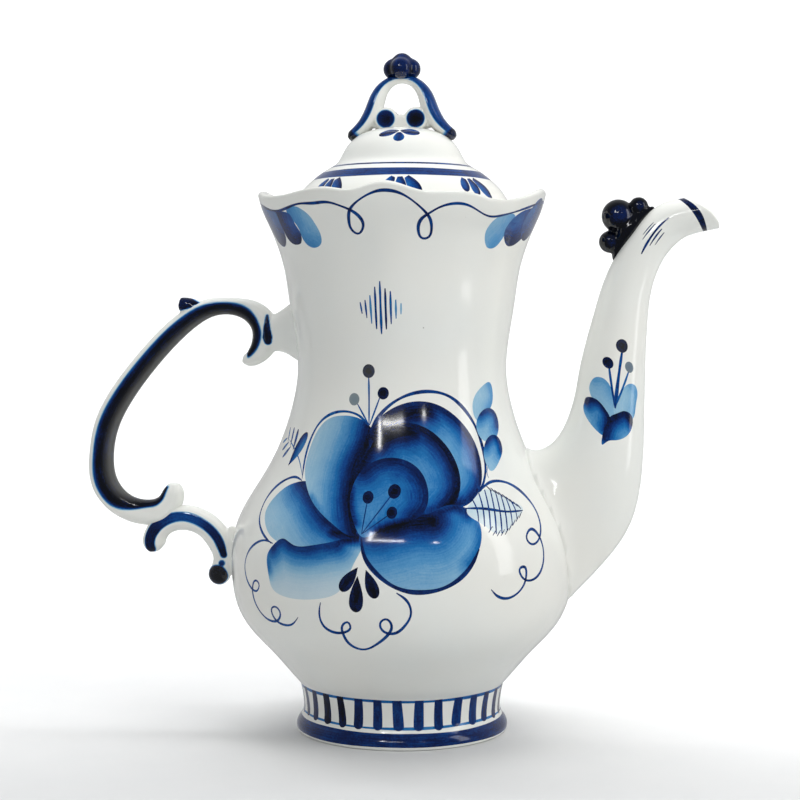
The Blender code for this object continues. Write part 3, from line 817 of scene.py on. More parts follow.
def rose():
    """The rose, petal by petal, from the back ones to the heart."""
    left = blot(
        [(-34.4, 98), (-40.8, 96.1), (-47.5, 91.9), (-51.4, 86.4), (-49, 81.4), (-43.5, 77.8),
         (-34.9, 76.4), (-25.2, 76.4), (-16.5, 78.0), (-6.0, 80.0), (-6.0, 83), (-13.5, 86), (-21.8, 90.6),
         (-27.2, 94.6), (-30.3, 98)],
        0.21, [([(-33.8, 98), (-29.2, 94.6), (-23.8, 89.1), (-17, 84.3), (-8, 80.6)], 8.5, 0.86),
               ([(-17, 82), (-6, 80.4)], 4, 1.0)])
    low_left = blot(
        [(-38.2, 78.4), (-43.3, 75.9), (-46.6, 71.8), (-45.8, 65.7), (-43.6, 60.4), (-37.6, 58.0),
         (-29.5, 57.6), (-21.2, 58.6), (-14.5, 61.2), (-10.6, 66.8), (-8.1, 72.4), (-5.8, 79.6),
         (-10, 80.2), (-16.5, 78.8), (-25.2, 77.0), (-33.9, 76.8)],
        0.12, [([(-43.6, 74.6), (-38.2, 77.9), (-33.6, 76.4), (-25.2, 76.2), (-15, 78)], 6.2, 0.82),
               ([(-45.6, 73), (-45.6, 67)], 3.2, 0.6), ([(-14, 79), (-6.5, 80.2)], 3, 0.95)])
    top_left = blot(
        [(-6, 118.4), (-11, 121.4), (-17.4, 122), (-24.2, 120.2), (-28.8, 115.8), (-31.8, 109.4),
         (-32.8, 102.6), (-30.6, 96.7), (-27.3, 92.1), (-21.8, 87.5), (-16.1, 83.8), (-9, 81),
         (-8, 89), (-9, 97), (-6, 106), (-3.6, 113)],
        0.2, [([(-5.2, 118), (-6.6, 112.7), (-8.9, 107.3), (-10.8, 101.3), (-11.4, 94.6),
                (-10.6, 88.9), (-8.6, 82.4)], 8.4, 1.0),
              ([(-16, 84.4), (-22, 88), (-27.6, 93)], 2.4, 0.5)])
    outer_right = blot(
        [(-5.4, 117.8), (-2, 122.1), (3.4, 125.6), (10.5, 127.4), (17.2, 126.6), (24, 123.2),
         (30.4, 117.6), (35.2, 110.6), (37.4, 103), (37, 97.1), (34.3, 92.9), (30, 90.5),
         (24, 90.5), (12, 96), (0, 106), (-6, 112)],
        0.34, [([(-4, 119.4), (3.4, 125), (10.5, 126.8), (17.2, 126), (24, 122.4), (30.2, 117),
                 (34.6, 110.2), (36.8, 103), (36.2, 97.1), (32, 92)], 4.4, 0.88),
               ([(-5, 115), (0, 120), (8, 123.4), (15, 124)], 7.0, 1.0),
               ([(30, 92), (26, 91)], 4, 0.9)])
    inner_right = blot(
        [(-5.2, 111.5), (-3.3, 115.5), (1.3, 118.6), (6.8, 119.8), (14, 118.1), (20.6, 113.4),
         (26, 106.4), (28.4, 99.7), (28.1, 94.6), (25.6, 90.4), (21, 88.6), (16, 86), (8, 85),
         (-4, 85), (-11, 91), (-11, 99), (-8.4, 106)],
        0.42, [([(-4.6, 112), (-2.6, 115.6), (1.6, 118), (6.8, 119.2), (13.6, 117.4), (20, 112.8),
                 (25.2, 106), (27.6, 99.7), (27, 94.6), (23.6, 90.4)], 5.6, 0.98),
               ([(-5, 112), (-8, 106), (-10.4, 99), (-10.8, 92)], 5.4, 1.0),
               ([(-2, 112.6), (3, 115.8), (10, 116.4)], 6.4, 1.0),
               ([(14, 88), (20, 90.4), (24, 93)], 3.6, 0.8)])
    low_right = blot(
        [(-6.6, 82.0), (-4.9, 74.5), (-0.4, 68.7), (4.3, 65), (10.4, 62.6), (16.5, 62.2),
         (22.6, 63.2), (29, 66.4), (33.9, 71.4), (37.2, 77.6), (37.1, 83.4), (34.6, 87.6),
         (31, 90), (26.6, 91.2), (21.9, 90.6), (17.4, 88.6), (12.2, 88.4), (5.1, 88),
         (-2, 85)],
        0.3, [([(-2, 83), (5, 84.6), (13, 86), (19, 86)], 9.0, 1.0),
               ([(20, 88), (24, 89.8), (28, 90.2), (32, 88.4)], 4.2, 0.86),
               ([(35, 87), (36.8, 82), (36.4, 76), (33, 71)], 3.4, 0.6)])
    heart = blot(
        [(-10.4, 99.1), (-7.4, 103.6), (-2.8, 106.5), (2.7, 107.5), (9, 106), (13.7, 102.2),
         (16.4, 96.3), (16.2, 90.5), (13.4, 87.2), (9.6, 85.8), (4, 84.6), (-0.8, 82.4),
         (-5.7, 80.6), (-8.9, 84.4), (-11, 89.6), (-11.5, 94.6)],
        0.46, [([(-7.8, 102.6), (-2.8, 105.9), (2.7, 106.9), (8.6, 105.4), (13, 101.6),
                 (15.6, 96.3), (15.2, 90.6), (12.2, 87.4)], 6.4, 0.87),
               ([(-10.8, 97), (-10.9, 91), (-8.8, 85)], 1.5, 0.85),
               ([(0, 82.8), (6, 84.8), (12, 86.8)], 2.6, 0.98)])
    return [left, low_left, top_left, outer_right, inner_right, low_right, heart]


def rose_lines():
    """Fine outlines that stand off the petals, the curls, and the stamens of the heart."""
    lines = [
        ([(-5.9, 117), (-3.4, 121.2), (2.6, 127.2), (8.8, 130.1), (15.2, 130.9), (22.8, 129.2),
          (30.2, 123.6), (35.2, 117), (38.2, 109.6), (39.2, 103), (38, 97.8), (35.6, 93.6)], 1.0, 0.68),
        ([(-6.5, 118.6), (-10.2, 122), (-15.6, 123.5), (-21.3, 122.8), (-27.4, 119.4),
          (-31.6, 113.6), (-33.6, 106.3), (-33.5, 99)], 0.8, 0.6),
        ([(-33.4, 98.4), (-36.6, 99.3), (-41.7, 98.5), (-49.2, 94.9), (-54.2, 89.6),
          (-55, 84.6), (-51.9, 80.2), (-44.6, 76.1)], 0.8, 0.66),
        ([(-6.2, 80.2), (-4.8, 74.1), (-0.4, 68.3), (4.3, 64.6), (10.4, 62.2), (16.5, 61.8),
          (22.6, 62.8), (29, 66), (33.9, 71), (36.6, 76)], 1.3, 0.72),
        ([(-21.3, 57.2), (-21.9, 53), (-20.4, 48.7), (-16.7, 46.6), (-12.5, 46.8), (-10.1, 48.8),
          (-10.9, 50.6), (-12.9, 49.6), (-13, 46.2), (-11, 42.4), (-5.9, 40.4), (-1, 42.7),
          (3.6, 46.9), (4.7, 49.9), (3, 52.2), (0.9, 51.1), (1.3, 48.2), (5.1, 46.9),
          (9.4, 49.9), (11.6, 54.2), (10.4, 58.6), (6.6, 61.6)], 0.8, 0.66),
        ([(-43.7, 76.2), (-47.9, 76.9), (-54.2, 75.4), (-60.1, 71.4), (-62.5, 66.1),
          (-60.3, 61), (-56.2, 58.3), (-52.6, 58.5), (-51.6, 60.9), (-54, 61.9), (-56.2, 59.2),
          (-55.6, 54.8), (-51.7, 50.4), (-45.1, 47.8), (-40.9, 49), (-39.8, 51.6),
          (-42.2, 53.6), (-44.4, 52.6), (-43.6, 49.6), (-39.7, 47.4), (-34.1, 48),
          (-31.1, 51)], 0.72, 0.62),
        ([(36.4, 95.2), (40.4, 97.9), (45.7, 98.3), (53.3, 96.2), (61.5, 91.2), (66.4, 85.3),
          (67, 80.2), (64.4, 76.6), (60.2, 76.2), (58.2, 78.6), (60.3, 81), (64.3, 79.6),
          (67.6, 74.4), (67.6, 69.1), (64.8, 64.9), (60, 63.2), (55.2, 65.2), (54.4, 67.9),
          (56.6, 68.4), (57.5, 64.4), (55.4, 60.8), (51.4, 58.4), (47.3, 57.9), (43.9, 59.2),
          (41.5, 61.6)], 0.8, 0.66),
        ([(-6.4, 118.8), (-7.1, 137)], 0.6, 0.56), ([(-6.4, 118.8), (-12, 127.6)], 0.6, 0.56),
        ([(-6.2, 118.8), (-2.3, 130)], 0.6, 0.56),
    ]
    strokes = [pen_line(points, width * 1.18, load + 0.02) for points, width, load in lines]
    for x, height, radius in ((-4.9, 93.9, 2.0), (4.4, 96.0, 2.3), (4.1, 88.9, 1.9)):
        strokes.append(pen_line([(-6.2, 81.6), (x, height)], 0.5, 0.72))
        strokes.append(dot((x, height), radius, 1.0))
    return strokes + [dot((-7.1, 138.3), 2.35, 1.0, grey=0.28), dot((-12.6, 128), 2.1, 0.3, grey=0.75),
                      dot((-1.5, 130.3), 2.1, 1.0)]


def rose_sprigs():
    """Drops under the heart, the three buds, the hatched leaf and the small sprig."""
    drops = [
        leaf(start, end, width, 0.84, 1.0, peak=peak, root=0.02)
        for start, end, width, peak in (((-7.1, 70.3), (-13.4, 61.8), 4.6, 0.68),
                                        ((-7.2, 67.2), (-8.0, 54.4), 5.2, 0.72),
                                        ((-4.2, 69.5), (-0.6, 59.6), 4.6, 0.68))
    ]
    buds = [
        blot([(43.6, 133.6), (38.4, 132.2), (34.4, 128.6), (33.5, 123.8), (35.8, 119.9),
              (41.9, 123), (45, 127.4)], 0.24, [([(43, 133), (44.6, 128), (42, 124)], 2.6, 0.46)]),
        blot([(42.3, 124.3), (37.6, 122.9), (35.2, 119.1), (36.4, 114.6), (39.4, 112.4),
              (46.6, 114.6), (47.7, 119.4), (45.9, 122.7)], 0.26,
             [([(37.4, 122.6), (42.3, 123.9), (46.6, 121.4), (47.2, 118)], 3.6, 0.84)]),
        blot([(43.6, 114.6), (39.9, 112.7), (38.5, 108.9), (39.6, 104.4), (41.6, 102),
              (46.6, 105.3), (48.9, 109.2), (47.4, 113)], 0.25,
             [([(39.4, 112), (43.6, 114.2), (47.4, 112.4), (48.4, 109)], 3.6, 0.86)]),
        pen_line([(40.6, 104), (39.8, 101.6), (40.6, 99.6)], 0.55, 0.5),
    ]
    top = np.array([(31.3, 89.6), (34.3, 93.1), (37.4, 95.5), (41.3, 95.6), (48, 92.6), (57.4, 87.8)])
    foot = np.array([(31.3, 89.2), (38, 84.2), (43.6, 81.0), (48, 81.2), (52, 84.2), (57.4, 87.7)])
    outline = [*top[1:].tolist(), *foot[::-1].tolist()[1:]]
    hatch = [blot(outline, 0.09, [([(31, 89.4), (40, 89)], 3.0, 0.14)])]
    hatch.append(pen_line([(29.8, 89.9), (38.9, 89.4), (47.7, 88.0), (57.2, 87.7)], 0.8, 0.72))
    for i in range(8):
        x = 33.6 + 2.5 * i
        start = (x, np.interp(x, *top.T) + 0.2)
        end = (x + 2.6, np.interp(x + 2.6, *foot.T) - 0.3)
        bend = (x + 1.8, (start[1] + end[1]) / 2 + 0.6)
        hatch.append(pen_line([start, bend, end], 0.72, 0.68, ends=0.6))
    for i in range(9):
        x = 41.0 + 1.8 * i
        high, low = np.interp(x, *top.T), np.interp(x, *foot.T)
        hatch.append(pen_line([(x - 1.5, high + 1.3), (x + 0.9, high - 0.5)], 0.72, 0.76))
        hatch.append(pen_line([(x - 0.6, low - 1.1), (x + 1.0, low + 0.9)], 0.72, 0.76))
    sprig = [
        pen_line([(-33.8, 100.2), (-36.4, 104.6), (-40.8, 108.6), (-47.5, 112)], 0.55, 0.5),
        leaf((-43.6, 103.0), (-34.2, 115.2), 4.4, 0.5, 0.9, peak=0.6, root=0.05, edge=-1),
    ]
    needles = [
        ((-42.6, 108.4), (-41.0, 116.2), 1.7, 0.6, 0.9), ((-45.4, 109.6), (-45.0, 116.6), 1.4, 0.6, 0.88),
        ((-48.6, 110.8), (-49.6, 116.4), 1.2, 0.5, 0.8), ((-44.6, 109.8), (-50.4, 105.4), 1.4, 0.55, 0.85),
        ((-47.4, 111.2), (-53.0, 107.8), 1.3, 0.5, 0.8), ((-50, 112.4), (-55.6, 110.4), 1.2, 0.45, 0.75),
    ]
    sprig += [leaf(*needle, root=0.1) for needle in needles]
    return drops + buds + hatch + sprig


def pot_lattice(pot):
    """Mesh corners of the wall, close together where the rose is painted, front and back."""
    left, right, rise = ROSE_FIELD
    low = pot.along(ROSE_FIELD_FOOT)
    fine_x, fine_row = np.meshgrid(np.arange(left, right, FINE_CELL), low + np.arange(0.0, rise, FINE_CELL))
    fine = np.stack([fine_x.ravel(), fine_row.ravel()], 1)
    coarse = pot.lattice(WALL_ROW)
    for turn in (0.0, math.pi):
        across, along = pot.turn_points(coarse, -turn).T
        beside = (across > left - 1) & (across < right)
        level = (along > low - 1) & (along < fine[:, 1].max() + 1)
        coarse = coarse[~(beside & level)]
    lattice = np.vstack([coarse, fine, pot.turn_points(fine, math.pi)])
    return lattice[pot.holds(lattice)]


def make_pot(material):
    """The whole wall from the foot's seam to the mouth, the ledge and the inside."""
    pot = Turned(POT_OUTER, reach=2.6, shape=press_outside)
    drawing = laid(pot, rim_painting() + lozenge_of_lines() + rose() + rose_lines() + rose_sprigs())
    drawing += [stroke.turned(math.pi) for stroke in drawing]
    shell = Shell()
    shell.add_painted(pot, pot.border(WALL_ROW), pot_lattice(pot), drawing)

    lip, ledge, wall = POT_LIP_AND_INSIDE[:9], POT_LIP_AND_INSIDE[9:13], POT_LIP_AND_INSIDE[13:]
    profile = [*smooth_curve(lip, 22), *ledge, *smooth_curve(wall, 70)]
    shell.add_rings([pot.hoop(pot.length), *hoops(profile, press_inside)], 1)
    shell.add_rings([pot.hoop(0.0), *hoops([(20.0, POT_BOTTOM), (0.4, POT_BOTTOM)])], -1)
    return shell.build("pot_glazed_wall", material)


def make_foot(material):
    """The turned foot, with its bars between two thin bands over a broad one."""
    foot = Turned(FOOT_OUTER, reach=0.5)
    hand = np.random.default_rng(5)
    bars = []
    for i in range(FOOT_BARS):
        lean, wide, load = hand.normal(0, 0.3), hand.normal(3.8, 0.22), hand.uniform(0.76, 1.0)
        bar = leaf((-lean, 18.2), (lean, 6.9 + hand.normal(0, 0.2)), wide, load - 0.1, load,
                   peak=0.86, root=0.86, fade=wide * 0.6)
        turn = -math.pi / 2 + (i + 0.5) * 2 * math.pi / FOOT_BARS + hand.normal(0, 0.006)
        bars += [stroke.turned(turn) for stroke in laid(foot, [bar])]
    drawing = [full_band(foot, 17.2, 18.3, 0.66, 0.1, 2.0), full_band(foot, 7.3, 8.2, 0.6, 0.12, 4.0),
               *bars, full_band(foot, 1.3, 6.0, 0.84, 0.1, 1.0)]
    shell = Shell()
    shell.add_painted(foot, foot.border(FOOT_ROW), foot.lattice(FOOT_ROW), drawing)
    shell.add_rings(hoops([FOOT_OUTER[0], *FOOT_UNDERSIDE]), -1)
    return shell.build("foot_ring_glazed", material)


def lid_fan():
    """Three pressed leaves below the lid's band."""
    presses = [(-1.6, (-4.6, 204.4), 3.7), (0.8, (1.4, 203.0), 4.2), (3.2, (8.6, 202.4), 4.4)]
    return [leaf((across, 209.5), end, width, 0.6, 0.92, peak=0.6, root=0.42, edge=-1)
            for across, end, width in presses]


def lid_knot():
    """Three small leaves under the bow."""
    return [
        leaf((1.0, 228.4), (-6.6, 226.5), 2.7, 0.66, 0.95, peak=0.5, root=0.1),
        leaf((1.4, 228.4), (9.2, 227.2), 2.7, 0.66, 0.95, peak=0.5, root=0.1),
        leaf((1.2, 227.6), (1.5, 223.9), 4.2, 0.5, 0.86, peak=0.6, root=0.3),
    ]


def make_lid_dome(material):
    """The lid's dome, with fans and bands round it, and its collar and hollow underneath."""
    lid = Turned(LID_OUTER, reach=1.0)
    fans, knots = laid(lid, lid_fan()), laid(lid, lid_knot())
    places = [math.radians(360 / LID_FANS * i - 85) for i in range(LID_FANS)]
    drawing = [stroke.turned(turn) for turn in places for stroke in fans]
    drawing.append(full_band(lid, 210.2, 213.2, 0.8, 0.14, 0.5, 0.9))
    drawing.append(full_band(lid, 214.9, 215.6, 0.84, 0.05, 3.0))
    drawing += [stroke.turned(turn) for turn in (0.0, math.pi) for stroke in knots]
    shell = Shell()
    shell.add_painted(lid, lid.border(LID_ROW), lid.lattice(LID_ROW), drawing)
    collar, hollow = LID_UNDERSIDE[:11], LID_UNDERSIDE[11:]
    shell.add_rings(hoops([LID_OUTER[0], *collar, *smooth_curve(hollow, 30)]), -1)
    crown_radius, crown_height = LID_OUTER[-1]
    shell.add_rings(hoops([(crown_radius, crown_height), (0.02, crown_height)]), 1)
    return shell.build("lid_dome_glazed", material)


def spout_sprig():
    """The spray on the spout: two pale and two dark petals under three stamens."""
    return [
        blot([(-7.4, 61), (-7.2, 65.4), (-5.1, 68.9), (-2.5, 69.6), (-0.2, 67.7), (0.9, 65.2), (2.0, 61),
              (1.8, 57), (-1.6, 56), (-4.3, 57)], 0.28,
             [([(-6.4, 67), (-2.5, 69.2), (0.4, 65.6)], 3.0, 0.4)]),
        blot([(4.2, 70.2), (6.1, 72.2), (8.6, 72.4), (9.7, 70.8), (9.3, 67.4), (8, 62), (5.4, 60),
              (2.0, 58.6), (1.2, 63.4), (2.9, 67.4)], 0.24,
             [([(6.6, 71.8), (9.2, 70), (8.6, 64)], 2.4, 0.4)]),
        blot([(-8.8, 53.8), (-8.7, 55.6), (-6.6, 58.6), (-4, 59.6), (-1.6, 58.6), (0.2, 56.9), (0.3, 53.1),
              (-0.9, 48.6), (-3.6, 47.6), (-5.8, 47.8), (-7.8, 48.9), (-8.9, 51.3)], 0.3,
             [([(-8.4, 54.6), (-6, 58.4), (-3, 59), (-0.2, 56), (0, 51)], 3.2, 0.94)]),
        blot([(0.2, 57.2), (2.7, 60.7), (5.4, 62.9), (7.4, 62.6), (7.9, 60.2), (6.9, 57.1), (4.9, 54),
              (2.1, 50.6), (0.2, 48), (-1.1, 45), (-1.4, 48.6), (-0.7, 53.4)], 0.3,
             [([(7.2, 60.6), (5.2, 62.2), (2.4, 59.8), (0, 55), (-0.9, 48)], 3.0, 0.96)]),
        pen_line([(-1.5, 75), (1.4, 62)], 0.95, 0.62, ends=0.6),
        pen_line([(2.4, 82.6), (1.5, 61.4)], 1.1, 0.64, ends=0.5),
        pen_line([(5.6, 76.6), (1.8, 63)], 0.75, 0.54, ends=0.5),
        dot((-2.1, 76.3), 2.0, 1.0), dot((2.1, 84.1), 2.25, 1.0, grey=0.15),
        dot((5.6, 77.6), 1.7, 0.42, grey=0.75),
    ]


def spout_hatch():
    """Five quick lines behind the berries."""
    lines = [
        ((-5.2, 131.6), (-5.0, 126.2), 0.7), ((-3.9, 131.6), (-3.5, 124.6), 0.85),
        ((-2.1, 136.6), (0.1, 119.4), 1.2), ((0.4, 131.6), (1.4, 123.6), 1.0),
        ((2.6, 131), (3.4, 124.8), 0.8),
    ]
    return [pen_line([start, end], width, 0.74, ends=0.4) for start, end, width in lines]


def lip_band(spout):
    """The band round the spout's tip, lower and narrower on its outer side."""
    across = np.linspace(spout.left, spout.right, 97)
    middle = 145.0 - 1.4 * np.sin(across / spout.GIRTH)
    half = (1.9 - 0.5 * np.sin(across / spout.GIRTH)) / 2
    low, high = np.stack([across, middle - half], 1), np.stack([across, middle + half], 1)
    return Stroke(np.vstack([low, high[::-1]]), 0.82, [(np.stack([across, middle], 1), 1.2, 0.97)])


def make_spout(material):
    """The hollow spout, with a rounded lip and its bore down to the pot."""
    spout = Lofted()
    drawing = spout_sprig() + spout_hatch()
    drawing += [stroke.turned(math.pi) for stroke in drawing]
    drawing.append(lip_band(spout))
    shell = Shell()
    shell.add_painted(spout, spout.border(), spout.lattice(), drawing)

    edge = spout.hoop(spout.length, SPOUT_ROOT_FLARE)
    mouth = Lofted(SPOUT_WALL - 0.6).hoop(spout.length)
    rings = []
    for turn in np.linspace(0.0, math.pi, 9):
        share = (1 - math.cos(turn)) / 2
        rings.append(edge + (mouth - edge) * share + spout.forward * 1.15 * math.sin(turn))
    bore = Lofted(SPOUT_WALL)
    rings += [bore.hoop(along) for along in np.linspace(spout.length - 2.0, 14.0, 60)]
    shell.add_rings(rings, 1)
    return shell.build("spout_glazed", material)


# ------------------------------------------------------------------ rods, berries and blossom

ROD_SIDES = 28
BALL_SIDES = 24
DISC_SIDES = 32


def rod_rings(line, flatten, groove=0.0, step=0.9):
    """Rings of a rod in the plane of the handle; a groove hollows its two flat sides."""
    table = smooth_curve(line, max(8, int(path_length([p[:2] for p in line]) / step)))
    run = np.gradient(table[:, :2], axis=0)
    run /= np.linalg.norm(run, axis=1)[:, None]
    turn = np.linspace(0, 2 * math.pi, ROD_SIDES, endpoint=False)
    rings = []
    for (x, z, radius), (dx, dz) in zip(table, run):
        radius = max(radius, 0.3)
        out, deep = radius * np.cos(turn), radius * flatten * np.sin(turn)
        hollow = groove * min(1.0, radius / 4.0) * np.exp(-((out / radius - 0.1) / 0.42) ** 2)
        deep -= np.sign(deep) * np.minimum(hollow, np.abs(deep) * 0.5)
        rings.append(np.stack([x - dz * out, deep, z + dx * out], 1))
    return np.array(rings)


def ball_rings(centre, radius):
    """Rings of a ball, from its top down."""
    turn = np.linspace(0, 2 * math.pi, BALL_SIDES, endpoint=False)
    ring = np.stack([np.cos(turn), np.sin(turn), np.zeros(BALL_SIDES)], 1)
    return np.array([np.array(centre) + radius * (math.sin(lean) * ring + [0, 0, math.cos(lean)])
                     for lean in np.linspace(0.02, math.pi - 0.02, 14)])


def disc_rings(centre, radius, depth):
    """A short bar along Y with rounded rims."""
    turn = np.linspace(0, 2 * math.pi, DISC_SIDES, endpoint=False)
    half, soft = depth / 2, 0.9
    sections = [(-half, 0.02), (-half, radius - soft), (-half + 0.3, radius - 0.3), (-half + soft, radius)]
    sections += [(-y, r) for y, r in reversed(sections)]
    return np.array([
        np.stack([centre[0] + r * np.cos(turn), np.full(DISC_SIDES, y), centre[1] + r * np.sin(turn)], 1)
        for y, r in sections
    ])


def closed_solids(name, solids):
    """A mesh of closed skins, one over each stack of rings."""
    verts, faces = [], []
    for rings in solids:
        count, size = rings.shape[:2]
        base = len(verts)
        last = base + (count - 1) * size
        verts.extend((rings.reshape(-1, 3) * MM).tolist())
        for low in range(base, last, size):
            for i in range(size):
                j = (i + 1) % size
                faces.append((low + i, low + j, low + size + j, low + size + i))
        faces.append(tuple(base + i for i in reversed(range(size))))
        faces.append(tuple(last + i for i in range(size)))
    mesh = bpy.data.meshes.new(name)
    mesh.from_pydata(verts, [], faces)
    return mesh


def fused(name, solids, voxel, rounds, material, paint_of):
    """Solids of one casting run together by a voxel skin, softened, then painted by a rule."""
    rough = closed_solids(name, solids)
    item = bpy.data.objects.new(name, rough)
    bpy.context.scene.collection.objects.link(item)
    skin = item.modifiers.new("skin", "REMESH")
    skin.mode = "VOXEL"
    skin.voxel_size = voxel * MM
    soften = item.modifiers.new("soften", "SMOOTH")
    soften.factor = 0.5
    soften.iterations = rounds
    bpy.context.view_layer.update()
    evaluated = item.evaluated_get(bpy.context.evaluated_depsgraph_get())
    mesh = bpy.data.meshes.new_from_object(evaluated)
    item.modifiers.clear()
    item.data = mesh
    bpy.data.meshes.remove(rough)
    place = np.empty(len(mesh.vertices) * 3, np.float32)
    mesh.vertices.foreach_get("co", place)
    paint = paint_of(place.reshape(-1, 3).astype(float) / MM)
    cobalt = mesh.attributes.new("cobalt", "FLOAT_COLOR", "POINT")
    cobalt.data.foreach_set("color", paint.reshape(-1).astype(np.float32))
    mesh.polygons.foreach_set("use_smooth", np.ones(len(mesh.polygons), bool))
    mesh.materials.append(material)
    return item


def soft_edge(distance, blur=0.32):
    """1 well inside, 0 well outside, of a painted edge."""
    return ease(0.5 - distance / (2 * blur))


def along_line(line, points):
    """For each point: its offset from a rod's middle line, the rod's radius there, and how far
    along the rod that is. The rod's length comes last."""
    table = smooth_curve(line, 240)
    apart, travelled = nearest_on(table[:, :2], points)
    alongs = np.concatenate([[0.0], np.cumsum(np.linalg.norm(np.diff(table[:, :2], axis=0), axis=1))])
    run = np.gradient(table[:, :2], alongs, axis=0)
    foot = np.stack([np.interp(travelled, alongs, table[:, k]) for k in (0, 1)], 1)
    way = np.stack([np.interp(travelled, alongs, run[:, k]) for k in (0, 1)], 1)
    offset = points - foot
    side = np.sign(way[:, 0] * offset[:, 1] - way[:, 1] * offset[:, 0])
    radius = np.interp(travelled, alongs, table[:, 2])
    return side * apart, radius, travelled, alongs[-1]


def washes(load, grey, spread, along):
    """The four numbers that a corner carries."""
    return np.stack([load, grey, spread, along], 1)


def handle_paint_and_shade(place):
    """The broad navy stripe in the groove, painted shade in grey on the rod's inner side, the spur and the
    drop mark.
    """
    flat = place[:, [0, 2]]
    offset, radius, travelled, length = along_line(HANDLE_LINE, flat)
    share = -offset / radius

    # The stripe covers the rod's inner side up to this share of its radius, less at both curls.
    lower_curl = ease((travelled - (length - 34.0)) / 18.0)
    upper_curl = ease((34.0 - travelled) / 16.0)
    top = 0.46 - 0.92 * lower_curl - 0.62 * upper_curl
    ends = np.minimum(travelled - 2.4, length - 1.0 - travelled)
    stripe = soft_edge((share - top) * radius, 0.45) * soft_edge(-ends, 0.5)
    depth = (top - share) / (top + 1.0)
    load = stripe * (0.7 + 0.3 * ease(depth / 0.3))
    # Painted shade: grey mixed in where the rod's inner side faces the pot and lies in shadow, none at the
    # lower curl.
    grey = stripe * 0.5 * ease((depth - 0.42) / 0.6) * (1 - lower_curl)

    spur_apart, _ = nearest_on([(-79.5, 162.9), (-86.9, 164.0)], flat)
    spur = soft_edge(spur_apart - np.interp(flat[:, 0], [-87, -79], [3.4, 0.5])) * (offset < -3.0)
    drop_apart, drop_way = nearest_on([(-52.2, 158.6), (-51.6, 149.0)], flat)
    drop = soft_edge(drop_apart - np.interp(drop_way, [0, 4, 8.5, 9.7], [0.4, 1.3, 2.1, 1.7]))
    load = np.maximum(load, np.maximum(spur, drop) * 0.95)
    return washes(load, grey * (1 - np.maximum(spur, drop)), offset, travelled)


def bracket_paint(place):
    """A stripe round the arch, and a dark ball under a small dot at its lower end."""
    flat = place[:, [0, 2]]
    apart, travelled = nearest_on(smooth_curve(BRACKET_STRIPE, 60), flat)
    stripe = soft_edge(apart - np.interp(travelled, [0, 8, 20, 40, 46], [2.0, 2.3, 1.8, 1.7, 1.2]))
    stripe *= 0.94 - 0.24 * np.exp(-((travelled - 22) / 12) ** 2)
    knot = soft_edge(np.linalg.norm(flat - BRACKET_KNOT, axis=1) - 1.2)
    ball = soft_edge(np.linalg.norm(flat - BRACKET_BALL[:2], axis=1) - 3.9)
    load = np.maximum(stripe, np.maximum(knot * 0.8, ball))
    return washes(load, ball * 0.08, apart, travelled)


def make_handle(material):
    """The C-scroll, its thumb spur, and the boss that joins it to the neck."""
    solids = [
        rod_rings(HANDLE_LINE, HANDLE_FLATTEN, groove=1.1),
        rod_rings(THUMB_SPUR_LINE, HANDLE_FLATTEN),
        rod_rings(BOSS_LINE, 1.0),
    ]
    return fused("handle_glazed", solids, 0.5, 8, material, handle_paint_and_shade)


def make_bracket(material):
    """The lower scroll between the handle and the belly."""
    x, height, radius = BRACKET_BALL
    solids = [
        rod_rings(BRACKET_LINE, HANDLE_FLATTEN, groove=0.8),
        rod_rings(BRACKET_FOOT_LINE, HANDLE_FLATTEN),
        ball_rings((x, 0.0, height), radius),
    ]
    return fused("handle_bracket_glazed", solids, 0.42, 7, material, bracket_paint)


POOLED_LOAD = 1.12              # black all through, whatever the unevenness takes off


def berry_paint_and_highlight(place):
    """Nearly black where the glaze pools, with a painted highlight: a little lighter on the crown of each
    berry.
    """
    load = np.full(len(place), POOLED_LOAD)
    for x, height, radius in BERRIES:
        # Painted highlight: the lighter crown sits a tenth of the radius up and towards the spout from each
        # berry's middle.
        side = np.hypot(place[:, 0] - x - 0.1 * radius, place[:, 2] - height - 0.1 * radius) / radius
        load = np.where(side < 1.0, POOLED_LOAD - 0.19 * ease((0.95 - side) / 0.7), load)
    return washes(load, np.zeros(len(place)), np.zeros(len(place)), place[:, 2])


def make_berries(material):
    """The sprig of three berries on its pad."""
    solids = [ball_rings((x, 0.0, height), radius) for x, height, radius in BERRIES]
    solids.append(rod_rings(BERRY_PAD_LINE, 1.25))
    return fused("spout_berries_glazed", solids, 0.34, 14, material, berry_paint_and_highlight)


def loop_paint(place):
    """Cobalt on the outer half of the bow, dark tips at its feet, and a dot on each scroll."""
    offset, radius, travelled, length = along_line(LOOP_LINE, place[:, [0, 2]])
    depth = np.abs(place[:, 1])
    near_bow = np.abs(offset) < radius + 0.4
    edge = soft_edge(-0.06 * radius - offset, 0.3) * near_bow * soft_edge(1.2 - depth, 0.3)
    tips = soft_edge(np.minimum(travelled, length - travelled) - 3.6, 1.2) * near_bow
    dots = np.zeros(len(place))
    face = depth > LOOP_DISC_DEPTH / 2 - 1.2
    for x, height, disc in LOOP_DISCS[::2]:
        apart = np.hypot(place[:, 0] - x, place[:, 2] - height)
        dots = np.maximum(dots, soft_edge(apart - disc * 0.76) * face * (1.0 - 0.018 * apart**2))
    load = np.maximum(edge * 0.76, np.maximum(tips * 0.96, dots))
    return washes(load, np.zeros(len(place)), depth, travelled)


def make_loop(material):
    """The bow on the lid, with its scroll discs and the webs behind them."""
    solids = [rod_rings(LOOP_LINE, LOOP_FLATTEN, step=0.7)]
    solids += [disc_rings((x, z), r, LOOP_DISC_DEPTH) for x, z, r in LOOP_DISCS]
    solids += [disc_rings((x, z), r, LOOP_DISC_DEPTH - 3.0) for x, z, r in LOOP_WEBS]
    return fused("lid_loop_glazed", solids, 0.3, 5, material, loop_paint)


